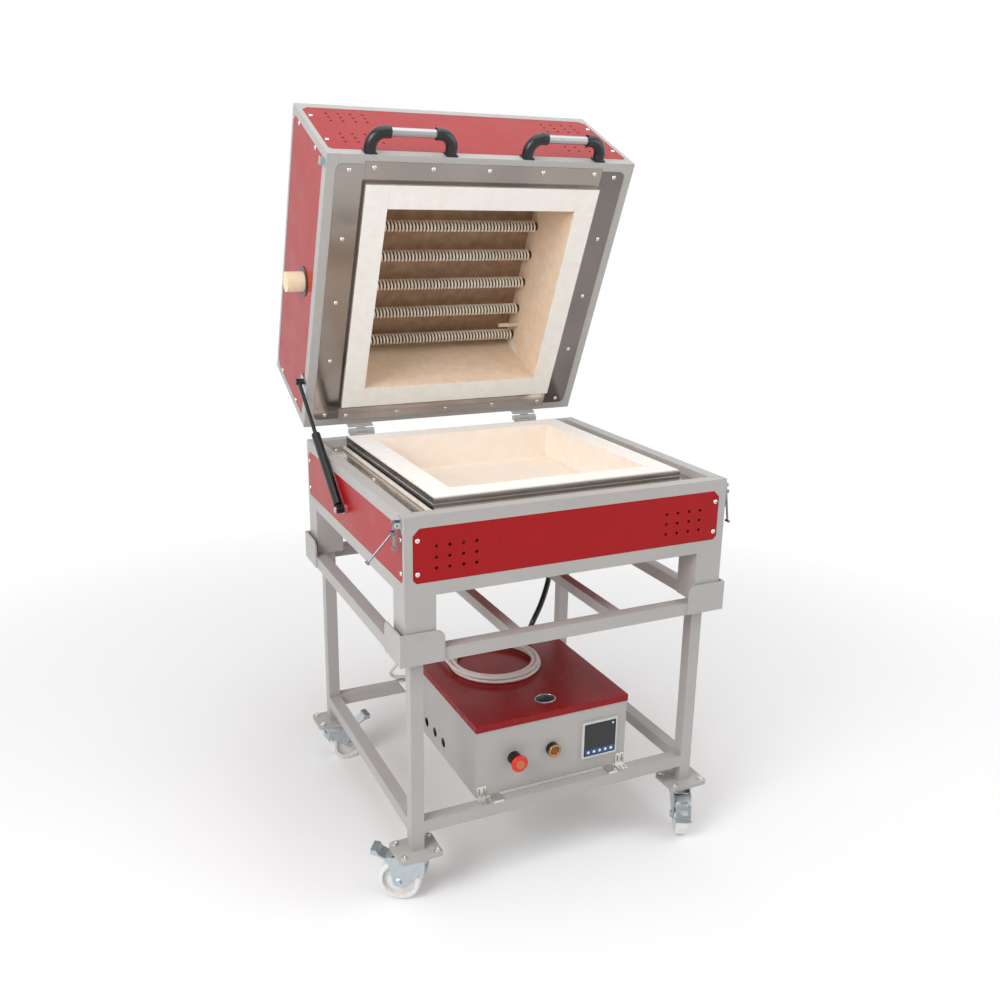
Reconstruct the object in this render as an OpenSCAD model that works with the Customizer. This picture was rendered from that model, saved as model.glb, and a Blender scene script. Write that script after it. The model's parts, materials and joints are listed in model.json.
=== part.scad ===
// Bead annealing kiln on a wheeled stand, with its lid propped open.
// X runs to the right, Y to the back and Z up from the floor, in millimetres.

/* [Kiln body] */
// Distance from the fibre block to the kiln's left and right faces
side_rim = 93; // [84:1:110]
// Distance from the fibre block to the kiln's front and back faces
front_rim = 65; // [58:1:80]
// Height of the lower section
base_h = 176; // [166:5:196]
// Height of the lid section
lid_h = 305; // [285:5:345]
// Height of the four kiln feet
foot_h = 117; // [100:1:140]
// Side of the square tube of the kiln feet
foot_tube = 70; // [60:1:75]
// Side of the square frame tube
tube = 30; // [28:1:34]
// Wall of every square tube
tube_wall = 3; // [2.6:0.2:4]
// Thickness of the red sheet panels
panel_t = 1.2; // [1:0.1:1.6]
// How deep each panel's seat is cut into the frame
panel_sink = 1.8; // [1.7:0.1:2.2]

/* [Chamber] */
// Inner width of the chamber
chamber_w = 500; // [440:10:520]
// Inner depth of the chamber
chamber_d = 500; // [440:10:520]
// Thickness of the fibre wall boards
wall_t = 57; // [45:1:60]
// How far each fibre block stands out of its frame
proud = 15.2; // [14.5:0.1:17]
// Depth of the floor below the lower frame's top
recess_depth = 75; // [50:5:90]
// Height of the chamber inside the lid
lid_chamber_h = 195; // [185:5:215]
// Thickness of the steel trim around the blocks
trim_t = 3; // [2:0.5:4]
// How far the steel deck lies below the lower frame's top
deck_drop = 20; // [18:1:24]
// Thickness of the stainless sheets
sheet_t = 1.5; // [1:0.1:2]

/* [Lid and hinges] */
// Angle at which the lid stands open
open_angle = 66; // [60:1:70]
// Distance of the hinge axis behind the kiln
hinge_back = 10; // [9.5:0.5:13]
// Height of the hinge axis above the lower frame
hinge_up = 10; // [8:0.5:13]
// Distance of each hinge from the middle
hinge_x = 247; // [200:1:290]
// Length of each hinge barrel
hinge_len = 70; // [50:1:90]
// Radius of the hinge barrel
barrel_r = 7.5; // [6:0.5:7.5]
// Radius of the hinge pin
pin_r = 3; // [2:0.5:4]

/* [Gas struts] */
// Distance of the strut's lower stud behind the middle
strut_base_y = 40; // [20:1:60]
// Distance of the strut's lower stud below the lower frame's top
strut_base_drop = 98; // [85:1:110]
// Distance of the upper stud behind the middle, lid closed
strut_lid_y = 252; // [240:1:265]
// Height of the upper stud above the lid's rim
strut_lid_up = 38; // [36:1:50]
// Distance of the strut's line from the kiln's side
strut_out = 12; // [11.5:0.5:14]
// Diameter of the strut's cylinder
strut_d = 22; // [18:1:22]
// Diameter of the strut's rod
strut_rod_d = 10; // [8:1:12]

/* [Handles] */
// Distance between the two feet of a handle
handle_pitch = 198; // [170:1:220]
// Distance of each handle's middle from the kiln's middle
handle_x = 199; // [170:1:220]
// Diameter of the aluminium grip
grip_d = 20; // [18:1:24]
// Distance of the grip's axis from the lid's front
handle_reach = 48; // [44:1:60]

/* [Heating] */
// Diameter of the ceramic heater tubes
rod_d = 20; // [16:1:24]
// Distance between neighbouring heater tubes
rod_pitch = 84; // [60:1:84]
// Height of the heater tubes above the lid's rim
rod_up = 160; // [130:1:165]
// Diameter of the heating wire
wire_d = 2.4; // [2:0.1:3]
// Turns of heating wire on each tube
curls = 13; // [9:1:13]
// Diameter of the thermocouple's sheath
probe_d = 11; // [8:1:14]

/* [Vent plug] */
// Diameter of the ceramic vent plug
plug_d = 50; // [40:1:56]
// Height of the plug above the lid's rim
plug_up = 108; // [100:1:118]
// How far the plug stands out of the lid's side
plug_out = 45; // [30:1:60]

/* [Stand] */
// Height of the stand's upper rails
stand_h = 642; // [600:1:700]
// Height of the underside of the lower rails
low_rail_z = 177; // [165:1:190]
// Side of the two bars that run under the kiln
bar_side = 25; // [20:1:30]
// Distance of those bars from the middle
bar_x = 130; // [100:1:160]
// Free width between a kiln foot and the pocket's side wall
pocket_gap_x = 9; // [6:0.5:10]
// Free width between a kiln foot and the pocket's end wall
pocket_gap_y = 2; // [1:0.5:6]
// Length of each pocket wall from its corner
pocket_len = 101; // [95:1:110]
// Thickness of the pocket walls
pocket_t = 4; // [3:0.5:5]
// Height of the pocket walls above the rails
pocket_up = 43; // [35:1:55]
// Depth of the pocket walls below the rails' top
pocket_down = 29; // [24:0.5:29]
// Thickness of the plate under each kiln foot
seat_t = 5; // [4:0.5:6]

/* [Casters] */
// Diameter of the wheels
wheel_d = 100; // [90:1:104]
// Width of the wheels
wheel_w = 32; // [28:1:36]
// Distance of the axle behind the swivel axis
trail = 38; // [36:1:41]
// Height from the floor to the caster's mounting face
caster_h = 128; // [128:1:134]
// Length of the mounting plates, along X
plate_w = 105; // [102:1:110]
// Width of the mounting plates, along Y
plate_d = 85; // [82:1:90]
// Thickness of the plates welded under the legs
leg_plate_t = 6; // [5:0.5:8]
// Distance between the bolts along X
bolt_w = 80; // [78:1:84]
// Distance between the bolts along Y
bolt_d = 60; // [58:1:62]
// Diameter of the caster bolts
bolt_dia = 8; // [6:1:8]

/* [Control box] */
// Width of the control box
box_w = 405; // [390:5:420]
// Depth of the control box
box_d = 353; // [340:1:365]
// Height of the control box
box_h = 184; // [178:1:200]
// Distance of the box's middle from the kiln's middle
box_x = -6.5; // [-10:0.5:0]
// Wall of the control box
box_wall = 1.5; // [1:0.1:2]
// Height of the box lid's folded edge
skirt_h = 17; // [12:1:22]
// Side of the square temperature controller
controller_side = 96; // [92:1:98]
// Diameter of the cable entry holes in the box's side
entry_d = 25; // [20:1:27]
// Height of the two flat bars that carry the box
carrier_t = 6; // [5:0.5:8]

/* [Cords] */
// Diameter of the mains cord
cord_d = 10; // [9:0.5:10]
// Outer radius of the coiled cord's centre line
coil_r = 118; // [114:1:118]
// Diameter of the conduit between box and kiln
conduit_d = 15; // [13:1:16]

/* [Hidden] */
$fn = 48;

// Clearance between pieces that must not touch
seam = 0.3;
// Radial clearance of a turning or sliding fit
running = 0.05;
// Margin by which a cutting shape passes the face it cuts
over = 1;

frame_paint = [0.78, 0.77, 0.75];
panel_red = [0.62, 0.09, 0.12];
stainless = [0.62, 0.62, 0.62];
zinc = [0.70, 0.73, 0.76];
fibre = [0.93, 0.89, 0.80];
ceramic = [0.90, 0.84, 0.70];
black_plastic = [0.07, 0.07, 0.08];
nylon = [0.90, 0.90, 0.89];

block_w = chamber_w + 2 * wall_t;
block_d = chamber_d + 2 * wall_t;
body_w = block_w + 2 * side_rim;
body_d = block_d + 2 * front_rim;
half_w = body_w / 2;
half_d = body_d / 2;
base_z = stand_h + seat_t + foot_h;
ring_z = base_z + base_h;
lid_gap = 2 * proud + 2 * seam;
post_x = half_w - tube / 2;
post_y = half_d - tube / 2;
hinge_y = half_d + hinge_back;
hinge_z = ring_z + hinge_up;
// Height of the closed lid's rim above the hinge axis
rim_up = lid_gap - hinge_up;

// Outer faces of the stand's upper rails, and the legs inside their corners
stand_x = half_w + pocket_gap_x;
stand_y = half_d + pocket_gap_y;
leg_x = stand_x - 1.5 * tube;
leg_y = stand_y - 1.5 * tube;
leg_z = caster_h + leg_plate_t;
low_rail_top = low_rail_z + tube;

box_z = low_rail_top + carrier_t;
box_front = -leg_y + tube / 2;
box_back = box_front + box_d;
box_left = box_x - box_w / 2;
box_right = box_x + box_w / 2;
box_top = box_z + box_h;
lid_sheet_top = box_top + box_wall;
button_z = box_z + 85;
stop_x = box_left + 97;
start_x = box_left + 199;
controller_x = box_right - 76;

// Place of each caster and the direction of its trailing side, counted from the right
caster_turns = [[-1, -1, 145], [1, -1, 242], [-1, 1, 5], [1, 1, 200]];
front_turn = caster_turns[1][2];

// Length of each latch hook, and its lean from upright: the right one hangs down
hook_len = 80;
hook_lean = 43;
right_hook_lean = 8;
hook_reach = hook_len - 3;

// The hooks reach out furthest at the sides, and the object's middle lies between them
centre_x = hook_reach * (sin(right_hook_lean) - sin(hook_lean)) / 2;

// Furthest points of the open lid and of the front wheel, and the object's middle
lid_back = hinge_y - hinge_back * cos(open_angle) + (lid_h + rim_up) * sin(open_angle);
wheel_front = -leg_y + (trail + wheel_d / 2) * sin(front_turn) + wheel_w / 2 * cos(front_turn);
centre_y = (lid_back + wheel_front) / 2;

// Places the lower kiln, the stand and everything fixed to them
module kiln_place() {
    translate([-centre_x, -centre_y, 0]) children();
}

// Places what belongs to the lid, drawn closed with its rim at height 0
module lid_place() {
    kiln_place()
        translate([0, hinge_y, hinge_z])
            rotate([-open_angle, 0, 0])
                translate([0, -hinge_y, rim_up]) children();
}

// The same shape at both sides, the right one mirrored
module both_sides() {
    children();
    mirror([1, 0, 0]) children();
}

// The same shape at the four corners
module four_corners(x, y) {
    for (sx = [-1, 1], sy = [-1, 1]) translate([sx * x, sy * y, 0]) children();
}

// Square tubes along each direction, centred on their own middle
module tube_x(length, side = tube) {
    difference() {
        cube([length, side, side], center = true);
        cube([length + over, side - 2 * tube_wall, side - 2 * tube_wall], center = true);
    }
}

module tube_y(length, side = tube) {
    rotate([0, 0, 90]) tube_x(length, side);
}

module tube_z(length, side = tube) {
    rotate([0, 90, 0]) tube_x(length, side);
}

// Flat outline with round corners
module round_rect(w, h, r) {
    square([w, h - 2 * r], center = true);
    square([w - 2 * r, h], center = true);
    for (sx = [-1, 1], sy = [-1, 1]) translate([sx * (w / 2 - r), sy * (h / 2 - r)]) circle(r);
}

// Cylinder along the X direction, its middle at the origin
module rod_x(r, length) {
    rotate([0, 90, 0]) cylinder(r = r, h = length, center = true);
}

// Cylinder along the Y direction, its middle at the origin
module rod_y(r, length) {
    rotate([90, 0, 0]) cylinder(r = r, h = length, center = true);
}

// Points of a curve that passes smoothly through a route's points
function curve_point(a, b, c, d, t) = 0.5 * (2 * b + (c - a) * t
    + (2 * a - 5 * b + 4 * c - d) * t * t + (3 * b - a - 3 * c + d) * t * t * t);
function smooth_route(p, steps) = concat([for (i = [0 : len(p) - 2], s = [0 : steps - 1])
    curve_point(p[max(i - 1, 0)], p[i], p[i + 1], p[min(i + 2, len(p) - 1)], s / steps)],
    [p[len(p) - 1]]);
function unit(v) = v / norm(v);
function tangent(p, i) = unit(p[min(i + 1, len(p) - 1)] - p[max(i - 1, 0)]);
// One ring of a swept tube, its corners counted from the side direction
function sweep_ring(centre, along, side, r, sides) = let (u = unit(side - (side * along) * along),
    v = cross(along, u)) [for (k = [0 : sides - 1])
    centre + r * cos(360 * k / sides) * u + r * sin(360 * k / sides) * v];

// Tube swept along points; each ring has its own side direction
module swept_tube(p, side_dirs, r, sides) {
    rings = [for (i = [0 : len(p) - 1]) sweep_ring(p[i], tangent(p, i), side_dirs[i], r, sides)];
    points = [for (ring = rings, q = ring) q];
    last = (len(p) - 1) * sides;
    walls = [for (i = [0 : len(p) - 2], k = [0 : sides - 1]) let (a = i * sides + k,
        b = i * sides + (k + 1) % sides) each [[a, a + sides, b], [b, a + sides, b + sides]]];
    first_cap = [for (k = [1 : sides - 2]) [0, k, k + 1]];
    last_cap = [for (k = [1 : sides - 2]) [last, last + k + 1, last + k]];
    polyhedron(points, concat(walls, first_cap, last_cap), convexity = 10);
}

// Least clear distance between parts of a tube that lie apart along it
function least_gap(p, r, skip) = min([for (i = [0 : len(p) - 1 - skip])
    min([for (j = [i + skip : len(p) - 1]) norm(p[i] - p[j])])]) - 2 * r;

// Stand: legs, rails, pockets and casters

module mounting_holes(r, z0, z1) {
    four_corners(bolt_w / 2, bolt_d / 2) translate([0, 0, z0]) cylinder(r = r, h = z1 - z0);
}

bolt_hole_r = bolt_dia / 2 + 0.2;
plate_corner_r = 10;

module stand_legs() {
    color(frame_paint) kiln_place() four_corners(leg_x, leg_y) {
        translate([0, 0, (leg_z + stand_h) / 2]) tube_z(stand_h - leg_z);
        difference() {
            translate([0, 0, caster_h]) linear_extrude(leg_plate_t)
                round_rect(plate_w, plate_d, plate_corner_r);
            mounting_holes(bolt_hole_r, caster_h - over, leg_z + over);
        }
    }
}

module stand_cross_rails() {
    color(frame_paint) kiln_place() {
        for (s = [-1, 1]) {
            translate([0, s * (stand_y - tube / 2), stand_h - tube / 2]) tube_x(2 * stand_x);
            translate([0, s * leg_y, low_rail_z + tube / 2]) tube_x(2 * leg_x - tube);
            translate([s * leg_x, 0, low_rail_z + tube / 2]) tube_y(2 * leg_y - tube);
        }
    }
}

module stand_side_rails() {
    color(frame_paint) kiln_place() {
        for (s = [-1, 1]) {
            translate([s * (stand_x - tube / 2), 0, stand_h - tube / 2])
                tube_y(2 * (stand_y - tube));
            translate([s * bar_x, 0, stand_h - bar_side / 2])
                tube_y(2 * (stand_y - tube), bar_side);
        }
    }
}

pocket_corner_r = 18;

// One pocket wall, drawn flat: its free top corner is round
module pocket_wall() {
    wall_h = pocket_up + pocket_down;
    square([pocket_len, wall_h - pocket_corner_r]);
    square([pocket_len - pocket_corner_r, wall_h]);
    translate([pocket_len - pocket_corner_r, wall_h - pocket_corner_r]) circle(pocket_corner_r);
}

// Pocket at the front left corner, drawn from its outer corner
module corner_pocket() {
    foot_x = foot_tube + pocket_gap_x;
    foot_y = foot_tube + pocket_gap_y;
    translate([0, pocket_t, -pocket_down]) rotate([90, 0, 0]) linear_extrude(pocket_t)
        pocket_wall();
    translate([0, 0, -pocket_down]) rotate([90, 0, 90]) linear_extrude(pocket_t) pocket_wall();
    cube([foot_x + pocket_t, foot_y + pocket_t, seat_t]);
}

module corner_pockets() {
    color(frame_paint) kiln_place()
        for (mx = [0, 1], my = [0, 1]) mirror([mx, 0, 0]) mirror([0, my, 0])
            translate([-stand_x - pocket_t, -stand_y - pocket_t, stand_h]) corner_pocket();
}

caster_plate_t = 3;
cup_r = 32;
crown_r = 30;
crown_t = 10;
crown_top = caster_h - caster_plate_t - 10;
kingpin_r = 6;
axle_r = 6;
cheek_t = 3;
cheek_y = wheel_w / 2 + 3;
axle_z = wheel_d / 2;

module caster_plates() {
    color(zinc) kiln_place() four_corners(leg_x, leg_y) difference() {
        union() {
            translate([0, 0, caster_h - caster_plate_t]) linear_extrude(caster_plate_t)
                round_rect(plate_w, plate_d, plate_corner_r);
            translate([0, 0, crown_top + seam])
                cylinder(r = cup_r, h = caster_h - caster_plate_t - crown_top - seam);
        }
        mounting_holes(bolt_hole_r, caster_h - caster_plate_t - over, caster_h + over);
        cylinder(r = kingpin_r + running, h = caster_h + over);
    }
}

// Puts a shape at one caster, its trailing side along the local X direction
module caster_place(index) {
    spot = caster_turns[index];
    kiln_place() translate([spot[0] * leg_x, spot[1] * leg_y, 0]) rotate([0, 0, spot[2]])
        children();
}

pedal_x = trail + 15;
pedal_z = crown_top - 7;
pedal_pin_r = 3;

// Side view of a fork cheek: crown above, axle eye below
module cheek_outline() {
    polygon([[-25, crown_top], [pedal_x + 9, crown_top], [pedal_x + 9, crown_top - 12],
        [trail + 12, axle_z], [trail - 12, axle_z], [-25, crown_top - 30]]);
    translate([trail, axle_z]) circle(12);
}

module caster_fork(index) {
    color(zinc) caster_place(index) {
        difference() {
            union() {
                translate([0, 0, crown_top - crown_t]) cylinder(r = crown_r, h = crown_t);
                for (s = [-1, 1]) translate([0, s * (cheek_y + cheek_t / 2) + cheek_t / 2, 0])
                    rotate([90, 0, 0]) linear_extrude(cheek_t) cheek_outline();
                translate([-25, -cheek_y - cheek_t, crown_top - 42])
                    cube([cheek_t, 2 * (cheek_y + cheek_t), 42]);
            }
            translate([pedal_x, 0, pedal_z]) rod_y(pedal_pin_r + running, 3 * cheek_y);
            translate([-30, -9, crown_top - 24]) cube([12, 18, 5]);
        }
        translate([0, 0, crown_top - crown_t]) cylinder(r = kingpin_r, h = crown_t + 12);
        translate([trail, 0, axle_z]) rod_y(axle_r, 2 * (cheek_y + cheek_t) + 8);
        for (s = [-1, 1]) translate([trail, s * (cheek_y + cheek_t + 2), axle_z]) rotate([90, 0, 0])
            cylinder(r = 9, h = 4, center = true, $fn = 6);
    }
}

// Half section of the wheel: hub, thin web and rounded tyre
module wheel_section() {
    rim_in = wheel_d / 2 - 10;
    edge_r = 6;
    translate([axle_r + running, -cheek_y + 1]) square([9, 2 * cheek_y - 2]);
    translate([axle_r + running, -4]) square([rim_in - axle_r, 8]);
    translate([rim_in - 1, -wheel_w / 2]) square([11 - edge_r, wheel_w]);
    translate([rim_in - 1, -wheel_w / 2 + edge_r]) square([11, wheel_w - 2 * edge_r]);
    for (s = [-1, 1]) translate([wheel_d / 2 - edge_r, s * (wheel_w / 2 - edge_r)])
        circle(edge_r);
}

module caster_wheel(index) {
    color(nylon) caster_place(index) translate([trail, 0, axle_z]) rotate([90, 0, 0])
        rotate_extrude($fn = 96) wheel_section();
}

// Brake pedal: pin, pressed arm and raised pad
module brake_pedal(index) {
    pedal_w = 2 * cheek_y - 2 * seam;
    color(zinc) caster_place(index) translate([pedal_x, 0, pedal_z]) {
        rod_y(pedal_pin_r, 2 * (cheek_y + cheek_t));
        rod_y(5, pedal_w);
        translate([0, pedal_w / 2, 0]) rotate([90, 0, 0]) linear_extrude(pedal_w)
            polygon([[0, -4], [18, -4], [34, 4], [50, 6], [50, 18], [36, 18], [32, 8], [16, 1],
                [0, 1]]);
    }
}

// Control box

bracket_w = 24;
carrier_x = 155;

module slotted_bracket(x) {
    translate([x - bracket_w / 2, box_front - 2, low_rail_top]) difference() {
        union() {
            cube([bracket_w, 2, 34]);
            translate([0, -24, 0]) cube([bracket_w, 26, 2]);
        }
        for (dx = [6, 18]) {
            translate([dx - 2, -over, 12]) cube([4, 4, 16]);
            translate([dx - 2, -19, -over]) cube([4, 12, 4]);
        }
    }
}

module control_box_supports() {
    color(zinc) kiln_place() {
        for (s = [-1, 1]) translate([box_x + s * carrier_x - 12.5, -leg_y - tube / 2, low_rail_top])
            cube([25, 2 * leg_y + tube, carrier_t]);
        slotted_bracket(box_left + 14);
        slotted_bracket(box_right - 14);
    }
}

button_hole_r = 11;
gland_hole_r = 9;
lead_x = 85;
lead_z = box_z + 107;
duct_x = 128;
duct_z = box_z + 27;
entry_z = box_z + 39;
cutout = controller_side - 4;

module control_box_body() {
    color(frame_paint) kiln_place() difference() {
        translate([box_left, box_front, box_z]) cube([box_w, box_d, box_h]);
        translate([box_left + box_wall, box_front + box_wall, box_z + box_wall])
            cube([box_w - 2 * box_wall, box_d - 2 * box_wall, box_h]);
        for (x = [stop_x, start_x]) translate([x, box_front, button_z])
            rod_y(button_hole_r + seam, 6);
        translate([controller_x, box_front, button_z])
            cube([cutout + 2 * seam, 6, cutout + 2 * seam], center = true);
        for (y = [41, 98, 154]) translate([box_left, box_back - y + 2, entry_z])
            rod_x(entry_d / 2, 6);
        translate([lead_x, box_back, lead_z]) rod_y(gland_hole_r + seam, 6);
        translate([duct_x, box_back, duct_z]) rod_y(gland_hole_r + seam, 6);
    }
}

module control_box_lid() {
    lap = seam + box_wall;
    color(panel_red) kiln_place() difference() {
        translate([box_left - lap, box_front - lap, lid_sheet_top - skirt_h])
            cube([box_w + 2 * lap, box_d + 2 * lap, skirt_h]);
        translate([box_left - seam, box_front - seam, lid_sheet_top - skirt_h - over])
            cube([box_w + 2 * seam, box_d + 2 * seam, skirt_h + over - box_wall]);
    }
}

gland_out = 20;
floor_gland_x = 215;
floor_gland_y = 140;

// Gland along the local Z direction, its flange on the wall at height 0
module gland(r) {
    translate([0, 0, -box_wall - 6]) cylinder(r = gland_hole_r, h = box_wall + 6);
    cylinder(r = r + 5, h = 8, $fn = 6);
    translate([0, 0, 8]) cylinder(r = r + 3, h = gland_out - 8);
}

module cable_glands() {
    color(black_plastic) kiln_place() {
        translate([lead_x, box_back, lead_z]) rotate([-90, 0, 0]) gland(cord_d / 2);
        translate([duct_x, box_back, duct_z]) rotate([-90, 0, 0]) gland(conduit_d / 2);
        translate([floor_gland_x, floor_gland_y, floor_z]) rotate([180, 0, 0])
            cylinder(r = conduit_d / 2 + 5, h = gland_out);
    }
}

module temperature_controller() {
    color(black_plastic) kiln_place() translate([controller_x, box_front, button_z]) {
        translate([0, -3, 0]) cube([controller_side, 6, controller_side], center = true);
        translate([0, 38, 0]) cube([cutout, 80, cutout], center = true);
    }
}

stop_stem_r = 8;
start_cap_r = 10;
collar_out = 12;

// Collar in front of the box's wall and switch block behind it, with a bore for the button
module button_collar(front_r, bore_r, out) {
    difference() {
        union() {
            translate([0, -out / 2, 0]) rod_y(front_r, out);
            translate([0, 4, 0]) rod_y(button_hole_r, 8);
            translate([-14, box_wall + seam, -16]) cube([28, 40, 32]);
        }
        translate([0, 8, 0]) rod_y(bore_r + running, 2 * (out + 8));
    }
}

module button_collars() {
    color(black_plastic) kiln_place() {
        translate([stop_x, box_front, button_z])
            button_collar(16, stop_stem_r, collar_out + 8);
        translate([start_x, box_front, button_z]) button_collar(16.5, start_cap_r, collar_out);
    }
}

stop_travel = 4;
stop_head_r = 21;
start_travel = 3;

module emergency_stop_button() {
    face = -(collar_out + 8 + stop_travel + 1);
    color([0.80, 0.12, 0.10]) kiln_place() translate([stop_x, box_front, button_z])
        rotate([90, 0, 0]) {
            translate([0, 0, -face]) cylinder(r1 = stop_head_r - 3, r2 = stop_head_r, h = 6);
            translate([0, 0, -face + 6]) cylinder(r1 = stop_head_r, r2 = stop_head_r - 4, h = 7);
            translate([0, 0, -10]) cylinder(r = stop_stem_r, h = 10 - face + 2);
        }
}

module start_button() {
    color([0.55, 0.20, 0.14]) kiln_place() translate([start_x, box_front, button_z])
        rotate([90, 0, 0]) translate([0, 0, -10])
            cylinder(r = start_cap_r, h = 10 + collar_out + start_travel + 1);
}

// Mounting rail, contactor, two solid state relays and a terminal block
module control_gear() {
    floor_top = box_z + box_wall;
    rail_t = 7;
    rail_y = box_back - 110;
    color([0.55, 0.56, 0.58]) kiln_place() {
        translate([box_left + 60, rail_y - 17.5, floor_top]) cube([box_w - 120, 35, rail_t]);
        for (item = [[70, 45, 84], [125, 45, 100], [180, 45, 100], [235, 90, 50]])
            translate([box_left + item[0], rail_y - 38, floor_top + rail_t + seam])
                cube([item[1], 76, item[2]]);
    }
}

// Kiln frame, panels and screws

front_panel_w = body_w - 38;
front_panel_low = 30;
front_panel_top = base_h - 27;
side_panel_d = body_d - 20;
lid_front_w = body_w - 24;
lid_front_low = 27;
lid_front_top = lid_h - 25;
lid_side_d = body_d - 40;
lid_side_low = 30;
lid_side_top = lid_h - 13;
chamfer = 15;

// Flat panel outline with cut corners, from one height to another
module panel_outline(w, low, top) {
    polygon([[-w / 2 + chamfer, top], [w / 2 - chamfer, top], [w / 2, top - chamfer],
        [w / 2, low + 8], [w / 2 - 8, low], [-w / 2 + 8, low], [-w / 2, low + 8],
        [-w / 2, top - chamfer]]);
}

// Stands a flat outline up at the front, the back or a side of the kiln
module at_front(depth) {
    translate([0, -half_d + depth, 0]) rotate([90, 0, 0]) children();
}

module at_side(depth) {
    translate([-half_w + depth, 0, 0]) rotate([90, 0, -90]) children();
}

// The four upright faces: front, back, left and right
module front_and_back(depth) {
    at_front(depth) children();
    rotate([0, 0, 180]) at_front(depth) children();
}

module left_and_right(depth) {
    at_side(depth) children();
    rotate([0, 0, 180]) at_side(depth) children();
}

screw_r = 2.5;
head_r = 4.5;
head_h = 2.4;
screw_inset = 10;
base_front_screws = [for (s = [-1, 1], z = [base_h - 53, base_h - 126])
    [s * (front_panel_w / 2 - screw_inset), z]];
base_side_screws = [for (s = [-1, 1], z = [base_h - 53, base_h - 126])
    [s * (side_panel_d / 2 - screw_inset), z]];
lid_front_screws = [for (s = [-1, 1], z = [82, lid_h - 77])
    [s * (lid_front_w / 2 - screw_inset), z]];
lid_side_screws = [for (s = [-1, 1], z = [93, lid_h - 64])
    [s * (lid_side_d / 2 - screw_inset / 2), z]];

// Pan head screws on a face, drawn flat at the given places
module screws_at(places) {
    for (p = places) translate([p[0], p[1], 0]) {
        cylinder(r = head_r, h = head_h);
        translate([0, 0, -tube_wall - 2]) cylinder(r = screw_r, h = tube_wall + 2);
    }
}

module screw_holes(places) {
    for (p = places) translate([p[0], p[1], 0])
        cylinder(r = screw_r + seam / 3, h = 4 * tube_wall, center = true);
}

// Seats for the panels and holes for their screws, cut into the lower frame
module base_frame_cuts() {
    front_and_back(panel_sink) linear_extrude(panel_sink + over)
        panel_outline(front_panel_w + 2 * seam, front_panel_low - seam, front_panel_top + seam);
    left_and_right(panel_sink) linear_extrude(panel_sink + over)
        panel_outline(side_panel_d + 2 * seam, front_panel_low - seam, front_panel_top + seam);
    front_and_back(panel_sink) screw_holes(base_front_screws);
    left_and_right(panel_sink) screw_holes(base_side_screws);
}

module lid_frame_cuts() {
    front_and_back(panel_sink) linear_extrude(panel_sink + over)
        panel_outline(lid_front_w + 2 * seam, lid_front_low - seam, lid_front_top + seam);
    left_and_right(panel_sink) linear_extrude(panel_sink + over)
        panel_outline(lid_side_d + 2 * seam, lid_side_low - seam, lid_side_top + seam);
    front_and_back(panel_sink) screw_holes(lid_front_screws);
    left_and_right(panel_sink) screw_holes(lid_side_screws);
    translate([0, 0, lid_h - panel_sink]) linear_extrude(panel_sink + over)
        square([body_w - 24 + 2 * seam, body_d - 24 + 2 * seam], center = true);
}

// Eight rails of a box frame, which butt against its corner posts
module frame_rails(height) {
    for (z = [tube / 2, height - tube / 2], s = [-1, 1]) {
        translate([0, s * post_y, z]) tube_x(body_w - 2 * tube);
        translate([s * post_x, 0, z]) tube_y(body_d - 2 * tube);
    }
}

module base_rails() {
    color(frame_paint) kiln_place() translate([0, 0, base_z]) difference() {
        frame_rails(base_h);
        base_frame_cuts();
    }
}

module kiln_corner_posts() {
    foot_x = half_w - foot_tube / 2;
    foot_y = half_d - foot_tube / 2;
    color(frame_paint) kiln_place() translate([0, 0, base_z]) difference() {
        union() {
            four_corners(post_x, post_y) translate([0, 0, base_h / 2]) tube_z(base_h);
            four_corners(foot_x, foot_y) {
                translate([0, 0, -foot_h / 2]) tube_z(foot_h, foot_tube);
                translate([-foot_tube / 2, -foot_tube / 2, -tube_wall])
                    cube([foot_tube, foot_tube, tube_wall]);
            }
        }
        base_frame_cuts();
    }
}

vent_d = 7;
vent_x = [0, 30, 61, 91];

// Vent holes of one end of a panel, counted in from its edge
module vents(edge, rows) {
    for (s = [-1, 1], dx = vent_x, z = rows) translate([s * (edge - dx), z, 0])
        cylinder(r = vent_d / 2, h = 4 * panel_t, center = true, $fn = 16);
}

floor_z = base_z + tube;
panel_face = panel_sink - panel_t;

module base_panels() {
    color(panel_red) kiln_place() {
        translate([0, 0, base_z]) difference() {
            union() {
                front_and_back(panel_sink) linear_extrude(panel_t)
                    panel_outline(front_panel_w, front_panel_low, front_panel_top);
                left_and_right(panel_sink) linear_extrude(panel_t)
                    panel_outline(side_panel_d, front_panel_low, front_panel_top);
            }
            front_and_back(panel_sink) screw_holes(base_front_screws);
            left_and_right(panel_sink) screw_holes(base_side_screws);
            front_and_back(panel_sink) vents(front_panel_w / 2 - 52,
                [base_h - 69, base_h - 93, base_h - 117]);
        }
        translate([0, 0, floor_z + panel_t / 2])
            cube([body_w - 2 * tube - 2 * seam, body_d - tube, panel_t], center = true);
    }
}

insulation_z = floor_z + panel_t;

module base_floor_slab() {
    color(fibre) kiln_place()
        translate([-chamber_w / 2 + seam, -chamber_d / 2 + seam, insulation_z])
            cube([chamber_w - 2 * seam, chamber_d - 2 * seam,
                ring_z - recess_depth - insulation_z]);
}

// Four boards laid around the chamber, with fine seams where they butt
module wall_boards(height) {
    x0 = chamber_w / 2;
    x1 = block_w / 2;
    y0 = chamber_d / 2;
    y1 = block_d / 2;
    translate([-x1, -y1, 0]) cube([wall_t, block_d, height]);
    translate([-x0 + seam, -y1, 0]) cube([x0 + x1 - seam, wall_t, height]);
    translate([x0, -y0 + seam, 0]) cube([wall_t, y0 + y1 - seam, height]);
    translate([-x0 + seam, y0, 0]) cube([2 * x0 - 2 * seam, wall_t, height]);
}

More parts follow.
